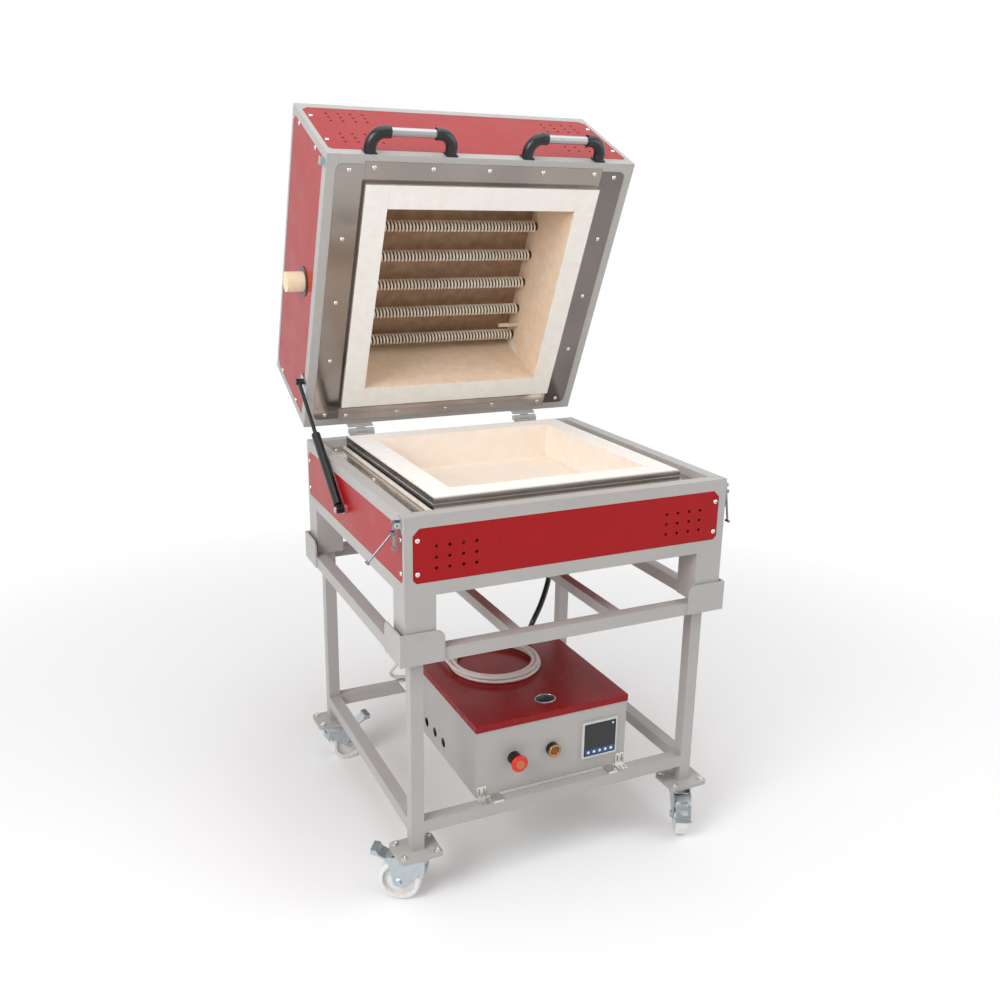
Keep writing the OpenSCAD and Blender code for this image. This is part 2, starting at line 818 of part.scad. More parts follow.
module base_wall_boards() {
    color(fibre) kiln_place() translate([0, 0, insulation_z])
        wall_boards(ring_z + proud - insulation_z);
}

// Square steel band around the fibre block
module block_band(height) {
    difference() {
        linear_extrude(height) square([block_w + 2 * trim_t, block_d + 2 * trim_t], center = true);
        translate([0, 0, -over]) linear_extrude(height + 2 * over)
            square([block_w, block_d], center = true);
    }
}

flange_h = 30;

module base_deck_plates() {
    inner_x = half_w - tube;
    inner_y = half_d - tube;
    deck_z = ring_z - deck_drop;
    color(stainless) kiln_place() {
        both_sides() translate([-inner_x, -inner_y, deck_z - sheet_t]) {
            cube([inner_x - block_w / 2, 2 * inner_y, sheet_t]);
            translate([0, 0, sheet_t - flange_h]) cube([sheet_t, 2 * inner_y, flange_h]);
        }
        for (turn = [0, 180]) rotate([0, 0, turn])
            translate([-block_w / 2 + seam, -inner_y, deck_z - sheet_t]) {
                cube([block_w - 2 * seam, inner_y - block_d / 2, sheet_t]);
                translate([0, 0, sheet_t - flange_h])
                    cube([block_w - 2 * seam, sheet_t, flange_h]);
            }
        translate([0, 0, ring_z - proud + 1.5]) block_band(proud - 2);
        translate([0, 0, ring_z + 0.5]) block_band(proud - 2.7);
    }
}

leaf_t = 2;
leaf_h = 48;
knuckle = hinge_len / 3;

// Barrel piece of a hinge with its web, centred along the axis
module hinge_knuckle(length, up) {
    rod_x(barrel_r, length);
    translate([-length / 2, -hinge_back, up > 0 ? 0 : -barrel_r])
        cube([length, hinge_back, barrel_r]);
}

// Lower leaf with its two outer knuckles, drawn from the hinge axis
module lower_hinge() {
    difference() {
        union() {
            for (s = [-1, 1]) translate([s * knuckle, 0, 0]) hinge_knuckle(knuckle - seam, -1);
            translate([-hinge_len / 2, -hinge_back, -leaf_h])
                cube([hinge_len, leaf_t, leaf_h - barrel_r + over]);
        }
        rod_x(pin_r + running, hinge_len + 2);
    }
}

// Upper leaf with the middle knuckle and the pin
module upper_hinge() {
    hinge_knuckle(knuckle - seam, 1);
    rod_x(pin_r, hinge_len);
    translate([-hinge_len / 2, -hinge_back, barrel_r - over])
        cube([hinge_len, leaf_t, leaf_h + rim_up / 2 - barrel_r]);
}

stud_plate_w = 34;
stud_r = 5;
strut_face = half_w + 3;
strut_x = half_w + strut_out;
strut_eye_w = 2 * (strut_x - strut_face - seam);

latch_y = -(half_d - 22);
latch_pivot_x = half_w + 10;
latch_pivot_z = ring_z - 19;
latch_ear_w = 22;
latch_pin_r = 2.5;

// Latch plate with two ears, on the left face of the lower frame
module latch_plate() {
    difference() {
        union() {
            translate([-half_w - 2.5, latch_y - 12, latch_pivot_z - 9]) cube([2.5, 24, 24]);
            for (s = [-1, 1]) translate([0, latch_y + s * (latch_ear_w / 2 - 1), 0]) {
                translate([-latch_pivot_x, 0, latch_pivot_z]) rod_y(6, 2);
                translate([-latch_pivot_x, -1, latch_pivot_z - 6])
                    cube([latch_pivot_x - half_w, 2, 12]);
            }
        }
        translate([-latch_pivot_x, latch_y, latch_pivot_z])
            rod_y(latch_pin_r + running, latch_ear_w + 4);
    }
}

// Stud that carries the strut's lower eye, with a head that keeps it on
module strut_stud() {
    stud_z = ring_z - strut_base_drop;
    tip = strut_x + strut_eye_w / 2;
    translate([-(half_w - panel_face + strut_face) / 2, strut_base_y, stud_z])
        rod_x(12, strut_face - half_w + panel_face);
    translate([-(strut_face + tip) / 2, strut_base_y, stud_z]) rod_x(stud_r, tip - strut_face + 1);
    translate([-tip - 2, strut_base_y, stud_z]) rod_x(stud_r + 2.5, 3);
}

module base_fittings() {
    color(frame_paint) kiln_place()
        for (s = [-1, 1]) translate([s * hinge_x, hinge_y, hinge_z]) lower_hinge();
    color(zinc) kiln_place() {
        strut_stud();
        both_sides() latch_plate();
    }
}

deck_screw_y = [-half_d + 60, 0, half_d - 60];

module frame_fasteners() {
    head_t = 5;
    color(zinc) kiln_place() {
        translate([0, 0, base_z]) {
            front_and_back(panel_face) screws_at(base_front_screws);
            left_and_right(panel_face) screws_at(base_side_screws);
        }
        for (s = [-1, 1], y = deck_screw_y)
            translate([s * (block_w / 2 + half_w - tube) / 2, y, ring_z - deck_drop])
                cylinder(r = head_r, h = head_h);
        four_corners(leg_x, leg_y) four_corners(bolt_w / 2, bolt_d / 2) {
            translate([0, 0, leg_z]) cylinder(r = bolt_dia / 2 + 2.5, h = head_t);
            translate([0, 0, caster_h - caster_plate_t - head_t])
                cylinder(r = bolt_dia / 2, h = head_t + caster_plate_t + leg_plate_t + 1);
            translate([0, 0, caster_h - caster_plate_t - head_t])
                cylinder(r = bolt_dia / 2 + 3, h = head_t, $fn = 6);
        }
    }
}

// Lid

module lid_rails() {
    color(frame_paint) lid_place() difference() {
        frame_rails(lid_h);
        lid_frame_cuts();
    }
}

module lid_posts() {
    color(frame_paint) lid_place() difference() {
        four_corners(post_x, post_y) translate([0, 0, lid_h / 2]) tube_z(lid_h);
        lid_frame_cuts();
    }
}

module lid_panels() {
    low_rows = [lid_h - 231, lid_h - 207, lid_h - 183];
    high_rows = [lid_h - 104, lid_h - 81, lid_h - 58];
    color(panel_red) lid_place() {
        difference() {
            union() {
                front_and_back(panel_sink) linear_extrude(panel_t)
                    panel_outline(lid_front_w, lid_front_low, lid_front_top);
                left_and_right(panel_sink) linear_extrude(panel_t)
                    panel_outline(lid_side_d, lid_side_low, lid_side_top);
            }
            front_and_back(panel_sink) screw_holes(lid_front_screws);
            left_and_right(panel_sink) screw_holes(lid_side_screws);
            at_front(panel_sink) vents(lid_front_w / 2 - 52, concat(low_rows, high_rows));
            translate([-half_w, 0, plug_up]) rod_x(plug_d / 2 + seam, 20);
        }
        translate([0, 0, lid_h - panel_sink]) linear_extrude(panel_t)
            square([body_w - 24, body_d - 24], center = true);
    }
}

// Stainless ring plates with their edges folded down against the fibre block
module lid_ring_plates() {
    edge_x = block_w / 2 + trim_t;
    edge_y = block_d / 2 + trim_t;
    outer_x = half_w - 23;
    outer_y = half_d - 22;
    fold = proud - 2.2;
    corner_r = 16;
    color(stainless) lid_place() {
        both_sides() translate([0, 0, -sheet_t]) {
            difference() {
                translate([-(edge_x + outer_x) / 2 + corner_r, 0, 0]) linear_extrude(sheet_t)
                    round_rect(outer_x - edge_x + 2 * corner_r, 2 * outer_y, corner_r);
                translate([-edge_x, -half_d, -over]) cube([edge_x, body_d, 4 * over]);
            }
            translate([-edge_x, -edge_y + seam, sheet_t - fold])
                cube([trim_t, 2 * edge_y - 2 * seam, fold]);
        }
        for (turn = [0, 180]) rotate([0, 0, turn]) translate([0, 0, -sheet_t]) {
            translate([-edge_x + seam, -half_d + 15, 0])
                cube([2 * edge_x - 2 * seam, half_d - 15 - edge_y, sheet_t]);
            translate([-block_w / 2 + seam, -edge_y, sheet_t - fold])
                cube([block_w - 2 * seam, trim_t, fold]);
        }
    }
}

socket_depth = 25;
rod_count = 6;
rod_ys = [for (i = [0 : rod_count - 1]) (i - (rod_count - 1) / 2) * rod_pitch];
probe_y = 168;
probe_up = rod_up - 20;
insulation_top = lid_h - panel_sink;
probe_reach = 60;

module lid_wall_boards() {
    color(fibre) lid_place() difference() {
        translate([0, 0, -proud]) wall_boards(insulation_top + proud);
        for (y = rod_ys) translate([0, y, rod_up])
            rod_x(rod_d / 2 + seam, chamber_w + 2 * socket_depth);
        translate([block_w / 2, probe_y, probe_up]) rod_x(probe_d / 2 + seam, 3 * wall_t);
        translate([-block_w / 2, 0, plug_up]) rod_x(plug_d / 2 + seam, 3 * wall_t);
    }
}

module lid_ceiling_slab() {
    color(fibre) lid_place()
        translate([-chamber_w / 2 + seam, -chamber_d / 2 + seam, lid_chamber_h])
            cube([chamber_w - 2 * seam, chamber_d - 2 * seam, insulation_top - lid_chamber_h]);
}

module heating_tubes() {
    color(ceramic) lid_place() for (y = rod_ys) translate([0, y, rod_up]) difference() {
        rod_x(rod_d / 2, chamber_w + 2 * socket_depth - 2 * seam);
        rod_x(rod_d / 4, chamber_w + 2 * socket_depth + over);
    }
}

rings_per_curl = 8;
wire_sides = 6;
// Radius at which the wire's flat stretches still clear the ceramic tube
wind_r = (rod_d / 2 + seam + wire_d / 2) / cos(180 / rings_per_curl);
wind_half = chamber_w / 2 - wire_d;
wind_steps = curls * rings_per_curl;
wind_points = concat([[-chamber_w / 2, wind_r, 0]],
    [for (i = [0 : wind_steps]) let (a = 360 * i / rings_per_curl)
        [-wind_half + 2 * wind_half * i / wind_steps, wind_r * cos(a), wind_r * sin(a)]],
    [[chamber_w / 2, wind_r, 0]]);
wind_sides = [for (p = wind_points) [0, p[1], p[2]]];

module heating_coils() {
    color([0.78, 0.72, 0.60]) lid_place() for (y = rod_ys) translate([0, y, rod_up])
        swept_tube(wind_points, wind_sides, wire_d / 2, wire_sides);
}

module thermocouple() {
    tip = chamber_w / 2 - probe_reach;
    color(ceramic) lid_place() translate([0, probe_y, probe_up]) {
        translate([(tip + half_w - tube) / 2, 0, 0]) rod_x(probe_d / 2, half_w - tube - tip);
        translate([block_w / 2 + 6, 0, 0]) rod_x(probe_d / 2 + 6, 12 - 2 * seam);
    }
}

bend_r = 34;
elbow_r = grip_d / 2 + 4;
sleeve_r = elbow_r + 0.4;
sleeve_out = 10;
grip_in = 5;

// Handle foot on the lid's front face, its elbow turning to the right
module handle_leg() {
    stem = handle_reach - bend_r;
    difference() {
        union() {
            translate([-sleeve_r, -4, -13]) cube([2 * sleeve_r, 4, 26]);
            translate([0, -stem / 2, 0]) rod_y(elbow_r, stem);
            translate([bend_r, -stem, 0]) rotate([0, 0, 180]) rotate_extrude(angle = 90)
                translate([bend_r, 0]) circle(elbow_r);
            translate([bend_r + sleeve_out / 2 - grip_in / 2, -handle_reach, 0])
                rod_x(sleeve_r, sleeve_out + grip_in);
        }
        translate([bend_r + sleeve_out / 2 - grip_in / 2 + over, -handle_reach, 0])
            rod_x(grip_d / 2 + running, sleeve_out + grip_in + 2 * over);
    }
}

handle_up = 15;

module handle_legs() {
    color(black_plastic) lid_place()
        for (s = [-1, 1], m = [0, 1]) translate([s * handle_x, -half_d, handle_up])
            mirror([m, 0, 0]) translate([-handle_pitch / 2, 0, 0]) handle_leg();
}

module handle_grips() {
    grip_len = handle_pitch - 2 * (bend_r - grip_in + over);
    color([0.75, 0.75, 0.75]) lid_place()
        for (s = [-1, 1]) translate([s * handle_x, -half_d - handle_reach, handle_up])
            difference() {
                rod_x(grip_d / 2, grip_len);
                rod_x(grip_d / 2 - 2, grip_len + over);
            }
}

keeper_y = -(half_d - 27);

module lid_fittings() {
    color(frame_paint) lid_place()
        for (s = [-1, 1]) translate([s * hinge_x, hinge_y, -rim_up]) upper_hinge();
    color(zinc) lid_place() translate([-strut_face, strut_lid_y - stud_plate_w / 2, 3])
        cube([strut_face - half_w, stud_plate_w, strut_lid_up + 14]);
    color(zinc) lid_place() both_sides() {
        translate([-half_w - 2, keeper_y - 9, 6]) cube([2, 18, 20]);
        translate([-half_w - 9, keeper_y - 9, 22]) cube([9, 18, 4]);
        translate([-half_w - 9, keeper_y - 9, 22]) cube([2, 18, 9]);
    }
    color(black_plastic) lid_place() translate([-half_w + panel_face - 1, 0, plug_up])
        difference() {
            rod_x(plug_d / 2 + 12.5, 2);
            rod_x(plug_d / 2 + seam, 4);
        }
}

ring_screw_y = [-half_d + 36, -half_d + 204, 0, half_d - 204, half_d - 36];
strip_screw_x = [-288, -144, 0, 144, 288];

module lid_screws() {
    color(zinc) lid_place() {
        front_and_back(panel_face) screws_at(lid_front_screws);
        left_and_right(panel_face) screws_at(lid_side_screws);
        for (s = [-1, 1], y = ring_screw_y)
            translate([s * (half_w - 53), y, -sheet_t - head_h]) cylinder(r = head_r, h = head_h);
        for (s = [-1, 1], x = strip_screw_x)
            translate([x, s * (half_d - 29), -sheet_t - head_h]) cylinder(r = head_r, h = head_h);
    }
}

plug_in = 100;

module vent_plug() {
    color(ceramic) lid_place() translate([-half_w + (plug_in - plug_out) / 2, 0, plug_up])
        rod_x(plug_d / 2, plug_out + plug_in);
}

// Gas struts, from the lower stud to the lid's stud in both poses

base_stud = [strut_base_y, ring_z - strut_base_drop];
lid_stud_arm = [strut_lid_y - hinge_y, strut_lid_up + rim_up];
lid_stud_open = [hinge_y + lid_stud_arm[0] * cos(open_angle) + lid_stud_arm[1] * sin(open_angle),
    hinge_z - lid_stud_arm[0] * sin(open_angle) + lid_stud_arm[1] * cos(open_angle)];
lid_stud_shut = [hinge_y, hinge_z] + lid_stud_arm;
open_len = norm(lid_stud_open - base_stud);
shut_len = norm(lid_stud_shut - base_stud);
stroke = open_len - shut_len;
strut_tilt = atan2(lid_stud_open[1] - base_stud[1], lid_stud_open[0] - base_stud[0]);
shut_tilt = atan2(lid_stud_shut[1] - base_stud[1], lid_stud_shut[0] - base_stud[0]);
cylinder_len = shut_len - 30;
rod_start = cylinder_len - 25;
eye_r = 9;
piston_r = strut_d / 2 - 2;

// Puts a piece of the left side's strut in place, its length along the local Z direction
module strut_place() {
    kiln_place() translate([-strut_x, base_stud[0], base_stud[1]])
        rotate([strut_tilt - 90, 0, 0]) children();
}

module strut_cylinder() {
    color(black_plastic) strut_place() difference() {
        union() {
            rod_x(eye_r, strut_eye_w - seam);
            translate([0, 0, eye_r - 3]) cylinder(r = stud_r, h = 10);
            translate([0, 0, 14]) cylinder(r = strut_d / 2, h = cylinder_len - 14);
        }
        rod_x(stud_r + running, 2 * strut_out);
        translate([0, 0, 22]) cylinder(r = piston_r + running, h = cylinder_len - 30);
        translate([0, 0, 22]) cylinder(r = strut_rod_d / 2 + running, h = cylinder_len);
    }
}

module strut_rod() {
    stud_len = strut_x - strut_face - seam;
    color(black_plastic) strut_place() {
        translate([0, 0, rod_start]) cylinder(r = strut_rod_d / 2, h = open_len - rod_start - 4);
        translate([0, 0, rod_start]) cylinder(r = piston_r, h = 12);
        translate([0, 0, open_len]) rod_x(eye_r - 1, strut_eye_w - seam);
        translate([stud_len / 2, 0, open_len]) rod_x(stud_r, stud_len);
    }
}

// Draw latches: the lever turns on the plate's ears and the hook on the lever

hook_drop = 18;
hook_out = 8;
hook_pin_r = 2;

module latch_lever(side) {
    lever_w = latch_ear_w - 4 - 2 * seam;
    color(zinc) kiln_place() mirror([side > 0 ? 1 : 0, 0, 0])
        translate([-latch_pivot_x, latch_y, latch_pivot_z]) {
            rod_y(latch_pin_r, latch_ear_w);
            rod_y(4.5, lever_w);
            translate([-4, -lever_w / 2 + 1, -52]) cube([2.5, lever_w - 2, 52]);
            translate([-4, 0, -52]) rod_y(3.5, lever_w - 2);
            for (s = [-1, 1]) difference() {
                translate([-hook_out - 3.5, s * 5.5 - 1, -hook_drop - 4]) cube([9, 2, 8]);
                translate([-hook_out, 0, -hook_drop]) rod_y(hook_pin_r + running, 20);
            }
        }
}

module latch_hook(side) {
    color(zinc) kiln_place() mirror([side > 0 ? 1 : 0, 0, 0])
        translate([-latch_pivot_x - hook_out, latch_y, latch_pivot_z - hook_drop])
            rotate([0, side > 0 ? right_hook_lean : hook_lean, 0]) {
                rod_y(hook_pin_r, 13);
                rod_y(3.4, 8);
                translate([0, 0, -hook_reach]) cylinder(r = 2.5, h = hook_len - 4);
                translate([0, 0, -hook_reach]) rod_y(3, 14);
            }
}

// Cords and conduit: routes are chosen by hand in kiln coordinates

conduit_route = [[215, 140, 774], [215, 139, 745], [213, 133, 700], [207, 118, 630],
    [193, 100, 560], [160, 78, 497], [124, 66, 440], [118, 78, 390], [124, 96, 340],
    [128, 104, 290], [128, 92, 254], [128, 72, 241], [128, 59, 240]];
lead_route = [[85, 59, 320], [85, 75, 320], [85, 95, 326], [85, 108, 343], [85, 111, 364],
    [85, 104, 386], [85, 88, 399], [85, 66, 403], [85, 40, 404], [85, 10, 404], [85, -20, 404]];
tail_route = [[-151, -20, 415], [-151, 0, 415], [-152, 60, 414], [-158, 120, 404],
    [-168, 180, 378], [-180, 240, 330], [-190, 290, 280], [-193, 324, 247], [-186, 337, 228],
    [-168, 336, 219], [-145, 331, 219], [-118, 329, 218], [-85, 329, 224], [-60, 329, 225]];
plug_spot = [-60, 329, 225];
coil_spot = [-33, -30];
loops = 3.5;
layer_step = cord_d + 0.6;
loop_step = cord_d + 1;
rings_per_loop = 24;
loop_rings = loops * rings_per_loop;
coil_z = lid_sheet_top + cord_d / 2 + seam;

function loop_r(t) = coil_r - loop_step * (loops / 2 - abs(t - loops / 2));
function climb(t) = let (u = min(max(t - loops / 2 + 0.25, 0) * 2, 1)) u * u * (3 - 2 * u);
function coil_point(t) = [coil_spot[0] + loop_r(t) * cos(-360 * t),
    coil_spot[1] + loop_r(t) * sin(-360 * t), coil_z + layer_step * climb(t)];
coil_points = concat([coil_point(0) + [0, cord_d, 0]],
    [for (i = [0 : loop_rings]) coil_point(i / rings_per_loop)],
    [coil_point(loops) + [0, cord_d, 0]]);
echo(least_gap_heating_coil = least_gap(wind_points, wire_d / 2, rings_per_curl - 2));
echo(least_gap_cord_coil = least_gap(coil_points, cord_d / 2, rings_per_loop - 4));

module conduit() {
    p = smooth_route(conduit_route, 5);
    color(black_plastic) kiln_place()
        swept_tube(p, [for (q = p) [1, 0, 0]], conduit_d / 2, 10);
}

module mains_cord_lead() {
    p = smooth_route(lead_route, 3);
    color(nylon) kiln_place() swept_tube(p, [for (q = p) [1, 0, 0]], cord_d / 2, 8);
}

module mains_cord_tail() {
    p = smooth_route(tail_route, 4);
    color(nylon) kiln_place() swept_tube(p, [for (q = p) [0.3, 0.3, 1]], cord_d / 2, 8);
}

module mains_cord_coil() {
    color(nylon) kiln_place()
        swept_tube(coil_points, [for (q = coil_points) [0, 0, 1]], cord_d / 2, 6);
}

module mains_plug() {
    color(nylon) kiln_place() translate(plug_spot) rotate([0, 90, 0]) {
        cylinder(r1 = 10, r2 = 18, h = 14);
        translate([0, 0, 14]) cylinder(r = 18, h = 30);
        for (s = [-1, 1]) translate([0, s * 9.5, 44]) cylinder(r = 2.4, h = 19);
    }
}

stand_legs();
stand_cross_rails();
stand_side_rails();
corner_pockets();
caster_plates();
control_box_supports();
control_box_body();
control_box_lid();
cable_glands();
temperature_controller();
button_collars();
control_gear();
base_rails();
kiln_corner_posts();
base_panels();
base_floor_slab();
base_wall_boards();
base_deck_plates();
base_fittings();
frame_fasteners();
lid_rails();
lid_posts();
lid_panels();
lid_ring_plates();
lid_wall_boards();
lid_ceiling_slab();
heating_tubes();
heating_coils();
thermocouple();
handle_legs();
handle_grips();
lid_fittings();
lid_screws();
vent_plug();
strut_cylinder();  // strut_cylinder_left
strut_rod();  // strut_rod_left
latch_lever(-1);  // latch_lever_left
latch_lever(1);  // latch_lever_right
latch_hook(-1);  // latch_hook_left
latch_hook(1);  // latch_hook_right
emergency_stop_button();
start_button();
caster_fork(0);  // caster_fork_front_left
caster_fork(1);  // caster_fork_front_right
caster_fork(2);  // caster_fork_back_left
caster_fork(3);  // caster_fork_back_right
caster_wheel(0);  // caster_wheel_front_left
caster_wheel(1);  // caster_wheel_front_right
caster_wheel(2);  // caster_wheel_back_left
caster_wheel(3);  // caster_wheel_back_right
brake_pedal(0);  // brake_pedal_front_left
brake_pedal(2);  // brake_pedal_back_left
conduit();
mains_cord_lead();
mains_cord_coil();
mains_cord_tail();
mains_plug();
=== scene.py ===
"""Looks of the bead annealing kiln: finishes, windings, cords and small fittings.

Lengths in millimetres are in the kiln's own frame: X right, Y back, Z up from the floor, with
the kiln's middle at X = Y = 0. KILN_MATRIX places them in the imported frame. LID_MATRIX does so
for the lid, which is drawn shut with its rim at Z = 0.
"""
import itertools
import json
import math

import bmesh
import bpy
from mathutils import Matrix, Vector


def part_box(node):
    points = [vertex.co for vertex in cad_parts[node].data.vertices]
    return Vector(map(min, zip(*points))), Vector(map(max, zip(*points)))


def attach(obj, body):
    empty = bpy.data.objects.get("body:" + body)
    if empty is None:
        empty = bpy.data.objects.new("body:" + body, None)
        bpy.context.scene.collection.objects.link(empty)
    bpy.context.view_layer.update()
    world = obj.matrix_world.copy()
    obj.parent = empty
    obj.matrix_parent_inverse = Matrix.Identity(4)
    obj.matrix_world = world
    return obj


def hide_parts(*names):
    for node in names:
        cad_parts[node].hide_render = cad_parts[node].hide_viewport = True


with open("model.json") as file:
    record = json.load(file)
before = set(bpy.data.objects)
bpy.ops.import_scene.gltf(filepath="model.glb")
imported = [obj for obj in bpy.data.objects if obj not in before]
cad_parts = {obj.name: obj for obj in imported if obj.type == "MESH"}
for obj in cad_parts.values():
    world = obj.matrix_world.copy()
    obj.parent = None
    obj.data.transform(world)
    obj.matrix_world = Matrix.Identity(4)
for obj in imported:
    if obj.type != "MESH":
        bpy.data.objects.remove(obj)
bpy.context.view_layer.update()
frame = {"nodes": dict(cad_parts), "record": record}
NODES = frame["nodes"]
MM = 0.001

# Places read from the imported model

slab_low, slab_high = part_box("base_floor_slab")
KILN_MIDDLE = Vector(((slab_low[0] + slab_high[0]) / 2, (slab_low[1] + slab_high[1]) / 2, 0))
JOINTS = {j["name"]: j for j in frame["record"]["behaviour"]["joints"]}
HINGE = Vector(JOINTS["lid_hinge"]["pos_m"])
OPEN_ANGLE = math.radians(JOINTS["lid_hinge"]["range_deg"][1])
POST_LOW, POST_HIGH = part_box("kiln_corner_posts")
BODY_W = (POST_HIGH[0] - POST_LOW[0]) / MM
BODY_D = (POST_HIGH[1] - POST_LOW[1]) / MM
RING_Z = POST_HIGH[2] / MM

# Sizes that repeat the solids' own, in millimetres

CHAMBER_W = 500
CHAMBER_D = 500
WALL_T = 57
LID_GAP = 31
LID_H = 305
SIDE_PANEL_SINK = 0.6


def kiln(x, y, z):
    """A point of the lower kiln and the stand, given in millimetres."""
    return KILN_MIDDLE + Vector((x, y, z)) * MM


LID_MATRIX = (
    Matrix.Translation(HINGE)
    @ Matrix.Rotation(-OPEN_ANGLE, 4, "X")
    @ Matrix.Translation(kiln(0, 0, RING_Z + LID_GAP) - HINGE)
)
KILN_MATRIX = Matrix.Translation(KILN_MIDDLE)


# Materials


def linear(code):
    """Linear colour of an sRGB hex code."""
    parts = [int(code[i : i + 2], 16) / 255 for i in (1, 3, 5)]
    return [c / 12.92 if c <= 0.04045 else ((c + 0.055) / 1.055) ** 2.4 for c in parts]


def shade(colour, factor):
    return (*[min(1.0, c * factor) for c in colour], 1.0)


def add_node(tree, kind, **values):
    """One shader node; values name its inputs, or its own settings."""
    node = tree.nodes.new(kind)
    for key, value in values.items():
        if key in node.inputs:
            node.inputs[key].default_value = value
        else:
            setattr(node, key, value)
    return node


class Finish:
    """A procedural material; pattern sizes are in millimetres on the object."""

    def __init__(self, name, code, roughness, metallic=0.0):
        self.material = bpy.data.materials.new(name)
        self.material.use_nodes = True
        self.tree = self.material.node_tree
        self.shader = self.tree.nodes["Principled BSDF"]
        self.colour = linear(code)
        self.set("Base Color", shade(self.colour, 1.0))
        self.set("Roughness", roughness)
        self.set("Metallic", metallic)
        self.roughness = roughness
        self.height = None

    def set(self, socket, value):
        self.shader.inputs[socket].default_value = value

    def add(self, kind, **values):
        return add_node(self.tree, kind, **values)

    def link(self, a, b):
        self.tree.links.new(a, b)

    def place(self, stretch=(1, 1, 1)):
        """Object coordinates in millimetres, stretched along an axis for grain."""
        coords = self.add("ShaderNodeTexCoord")
        mapping = self.add("ShaderNodeMapping", Scale=[1 / (MM * s) for s in stretch])
        self.link(coords.outputs["Object"], mapping.inputs["Vector"])
        return mapping.outputs["Vector"]

    def noise(self, size, stretch=(1, 1, 1), detail=3.0):
        node = self.add("ShaderNodeTexNoise", Scale=1 / size, Detail=detail)
        self.link(self.place(stretch), node.inputs["Vector"])
        return node.outputs["Fac"]

    def spread(self, source, low, high, start=0.35, end=0.65):
        """A value between low and high that follows a pattern."""
        ends = {"From Min": start, "From Max": end, "To Min": low, "To Max": high}
        node = self.add("ShaderNodeMapRange", **ends)
        self.link(source, node.inputs["Value"])
        return node.outputs["Result"]

    def mottle(self, source, dark=0.93, light=1.05, tint=None):
        """Colour that drifts between a darker and a lighter tone."""
        ramp = self.add("ShaderNodeValToRGB")
        ramp.color_ramp.elements[0].position = 0.3
        ramp.color_ramp.elements[1].position = 0.7
        ramp.color_ramp.elements[0].color = shade(tint or self.colour, dark)
        ramp.color_ramp.elements[1].color = shade(self.colour, light)
        self.link(source, ramp.inputs["Fac"])
        self.link(ramp.outputs["Color"], self.shader.inputs["Base Color"])
        return ramp

    def bump(self, source, depth, strength=0.6):
        """Relief of the given depth in millimetres, added to what is there."""
        node = self.add("ShaderNodeBump", Strength=strength, Distance=depth * MM)
        self.link(source, node.inputs["Height"])
        if self.height:
            self.link(self.height, node.inputs["Normal"])
        self.height = node.outputs["Normal"]
        self.link(self.height, self.shader.inputs["Normal"])

    def vary_roughness(self, source, amount=0.08):
        low, high = self.roughness - amount, self.roughness + amount
        self.link(self.spread(source, low, high), self.shader.inputs["Roughness"])


def powder_coat(name, code, roughness=0.42, gloss=0.35):
    """Baked powder paint: fine orange peel and a faint drift of tone."""
    f = Finish(name, code, roughness)
    f.set("Specular IOR Level", gloss)
    f.mottle(f.noise(90, detail=4), 0.965, 1.02)
    f.bump(f.noise(2.2), 0.03, 0.3)
    f.vary_roughness(f.noise(70), 0.03)
    return f.material


def rolled_stainless(name, code, roughness):
    """Bright rolled sheet: long faint grain, and broad lighter and darker patches that are painted
    reflections of a room.
    """
    f = Finish(name, code, roughness, 1.0)
    # Painted reflections: broad lighter and darker patches across the sheet.
    f.mottle(f.noise(240, detail=1), 0.8, 1.08)
    f.bump(f.noise(0.9, (1, 30, 30)), 0.008, 0.2)
    f.bump(f.noise(220, detail=1), 1.2, 0.35)
    f.vary_roughness(f.noise(60), 0.03)
    return f.material


def zinc_plate(name, code, roughness=0.3):
    """Bright zinc with a crystalline bloom."""
    f = Finish(name, code, roughness, 1.0)
    cells = f.add("ShaderNodeTexVoronoi", Scale=1 / 12)
    f.link(f.place(), cells.inputs["Vector"])
    f.mottle(cells.outputs["Distance"], 0.96, 1.02)
    f.bump(f.noise(9), 0.01, 0.2)
    f.vary_roughness(f.noise(30), 0.03)
    return f.material


def fibre_board(name, code, tint, pits=0.5):
    """Vacuum formed ceramic fibre: chalky, pitted and lightly stained."""
    f = Finish(name, code, 0.95)
    f.set("Specular IOR Level", 0.2)
    f.mottle(f.noise(22, detail=9), 0.995, 1.0, linear(tint))
    f.bump(f.noise(2.6, detail=6), 0.4, pits)
    f.bump(f.noise(30, detail=2), 0.7, 0.2)
    return f.material


def moulded_plastic(name, code, roughness=0.4, grain=0.9):
    """Moulded plastic with a fine spark-eroded grain."""
    f = Finish(name, code, roughness)
    f.mottle(f.noise(20), 0.92, 1.06)
    f.bump(f.noise(grain), 0.03, 0.35)
    f.vary_roughness(f.noise(9), 0.05)
    return f.material


def drawn_aluminium(name, code="#a9a9aa"):
    """Satin tube with grain along its length."""
    f = Finish(name, code, 0.32, 1.0)
    f.mottle(f.noise(12, (8, 1, 1)), 0.93, 1.04)
    f.bump(f.noise(0.6, (40, 1, 1)), 0.02, 0.5)
    return f.material


def nylon(name, code):
    """Milky wheel nylon that lets a little light in."""
    f = Finish(name, code, 0.45)
    f.set("Subsurface Weight", 0.15)
    f.set("Subsurface Scale", 0.004)
    f.mottle(f.noise(18, detail=4), 0.93, 1.02)
    f.bump(f.noise(3), 0.06, 0.3)
    return f.material


def wound_wire(name, code):
    """Oxidised resistance wire."""
    f = Finish(name, code, 0.6)
    f.mottle(f.noise(16, detail=4), 0.82, 1.1)
    f.bump(f.noise(0.7), 0.06, 0.5)
    return f.material


def display_glass(name):
    """Dark display window."""
    f = Finish(name, "#1b1e24", 0.2)
    f.mottle(f.noise(30), 0.9, 1.2)
    return f.material


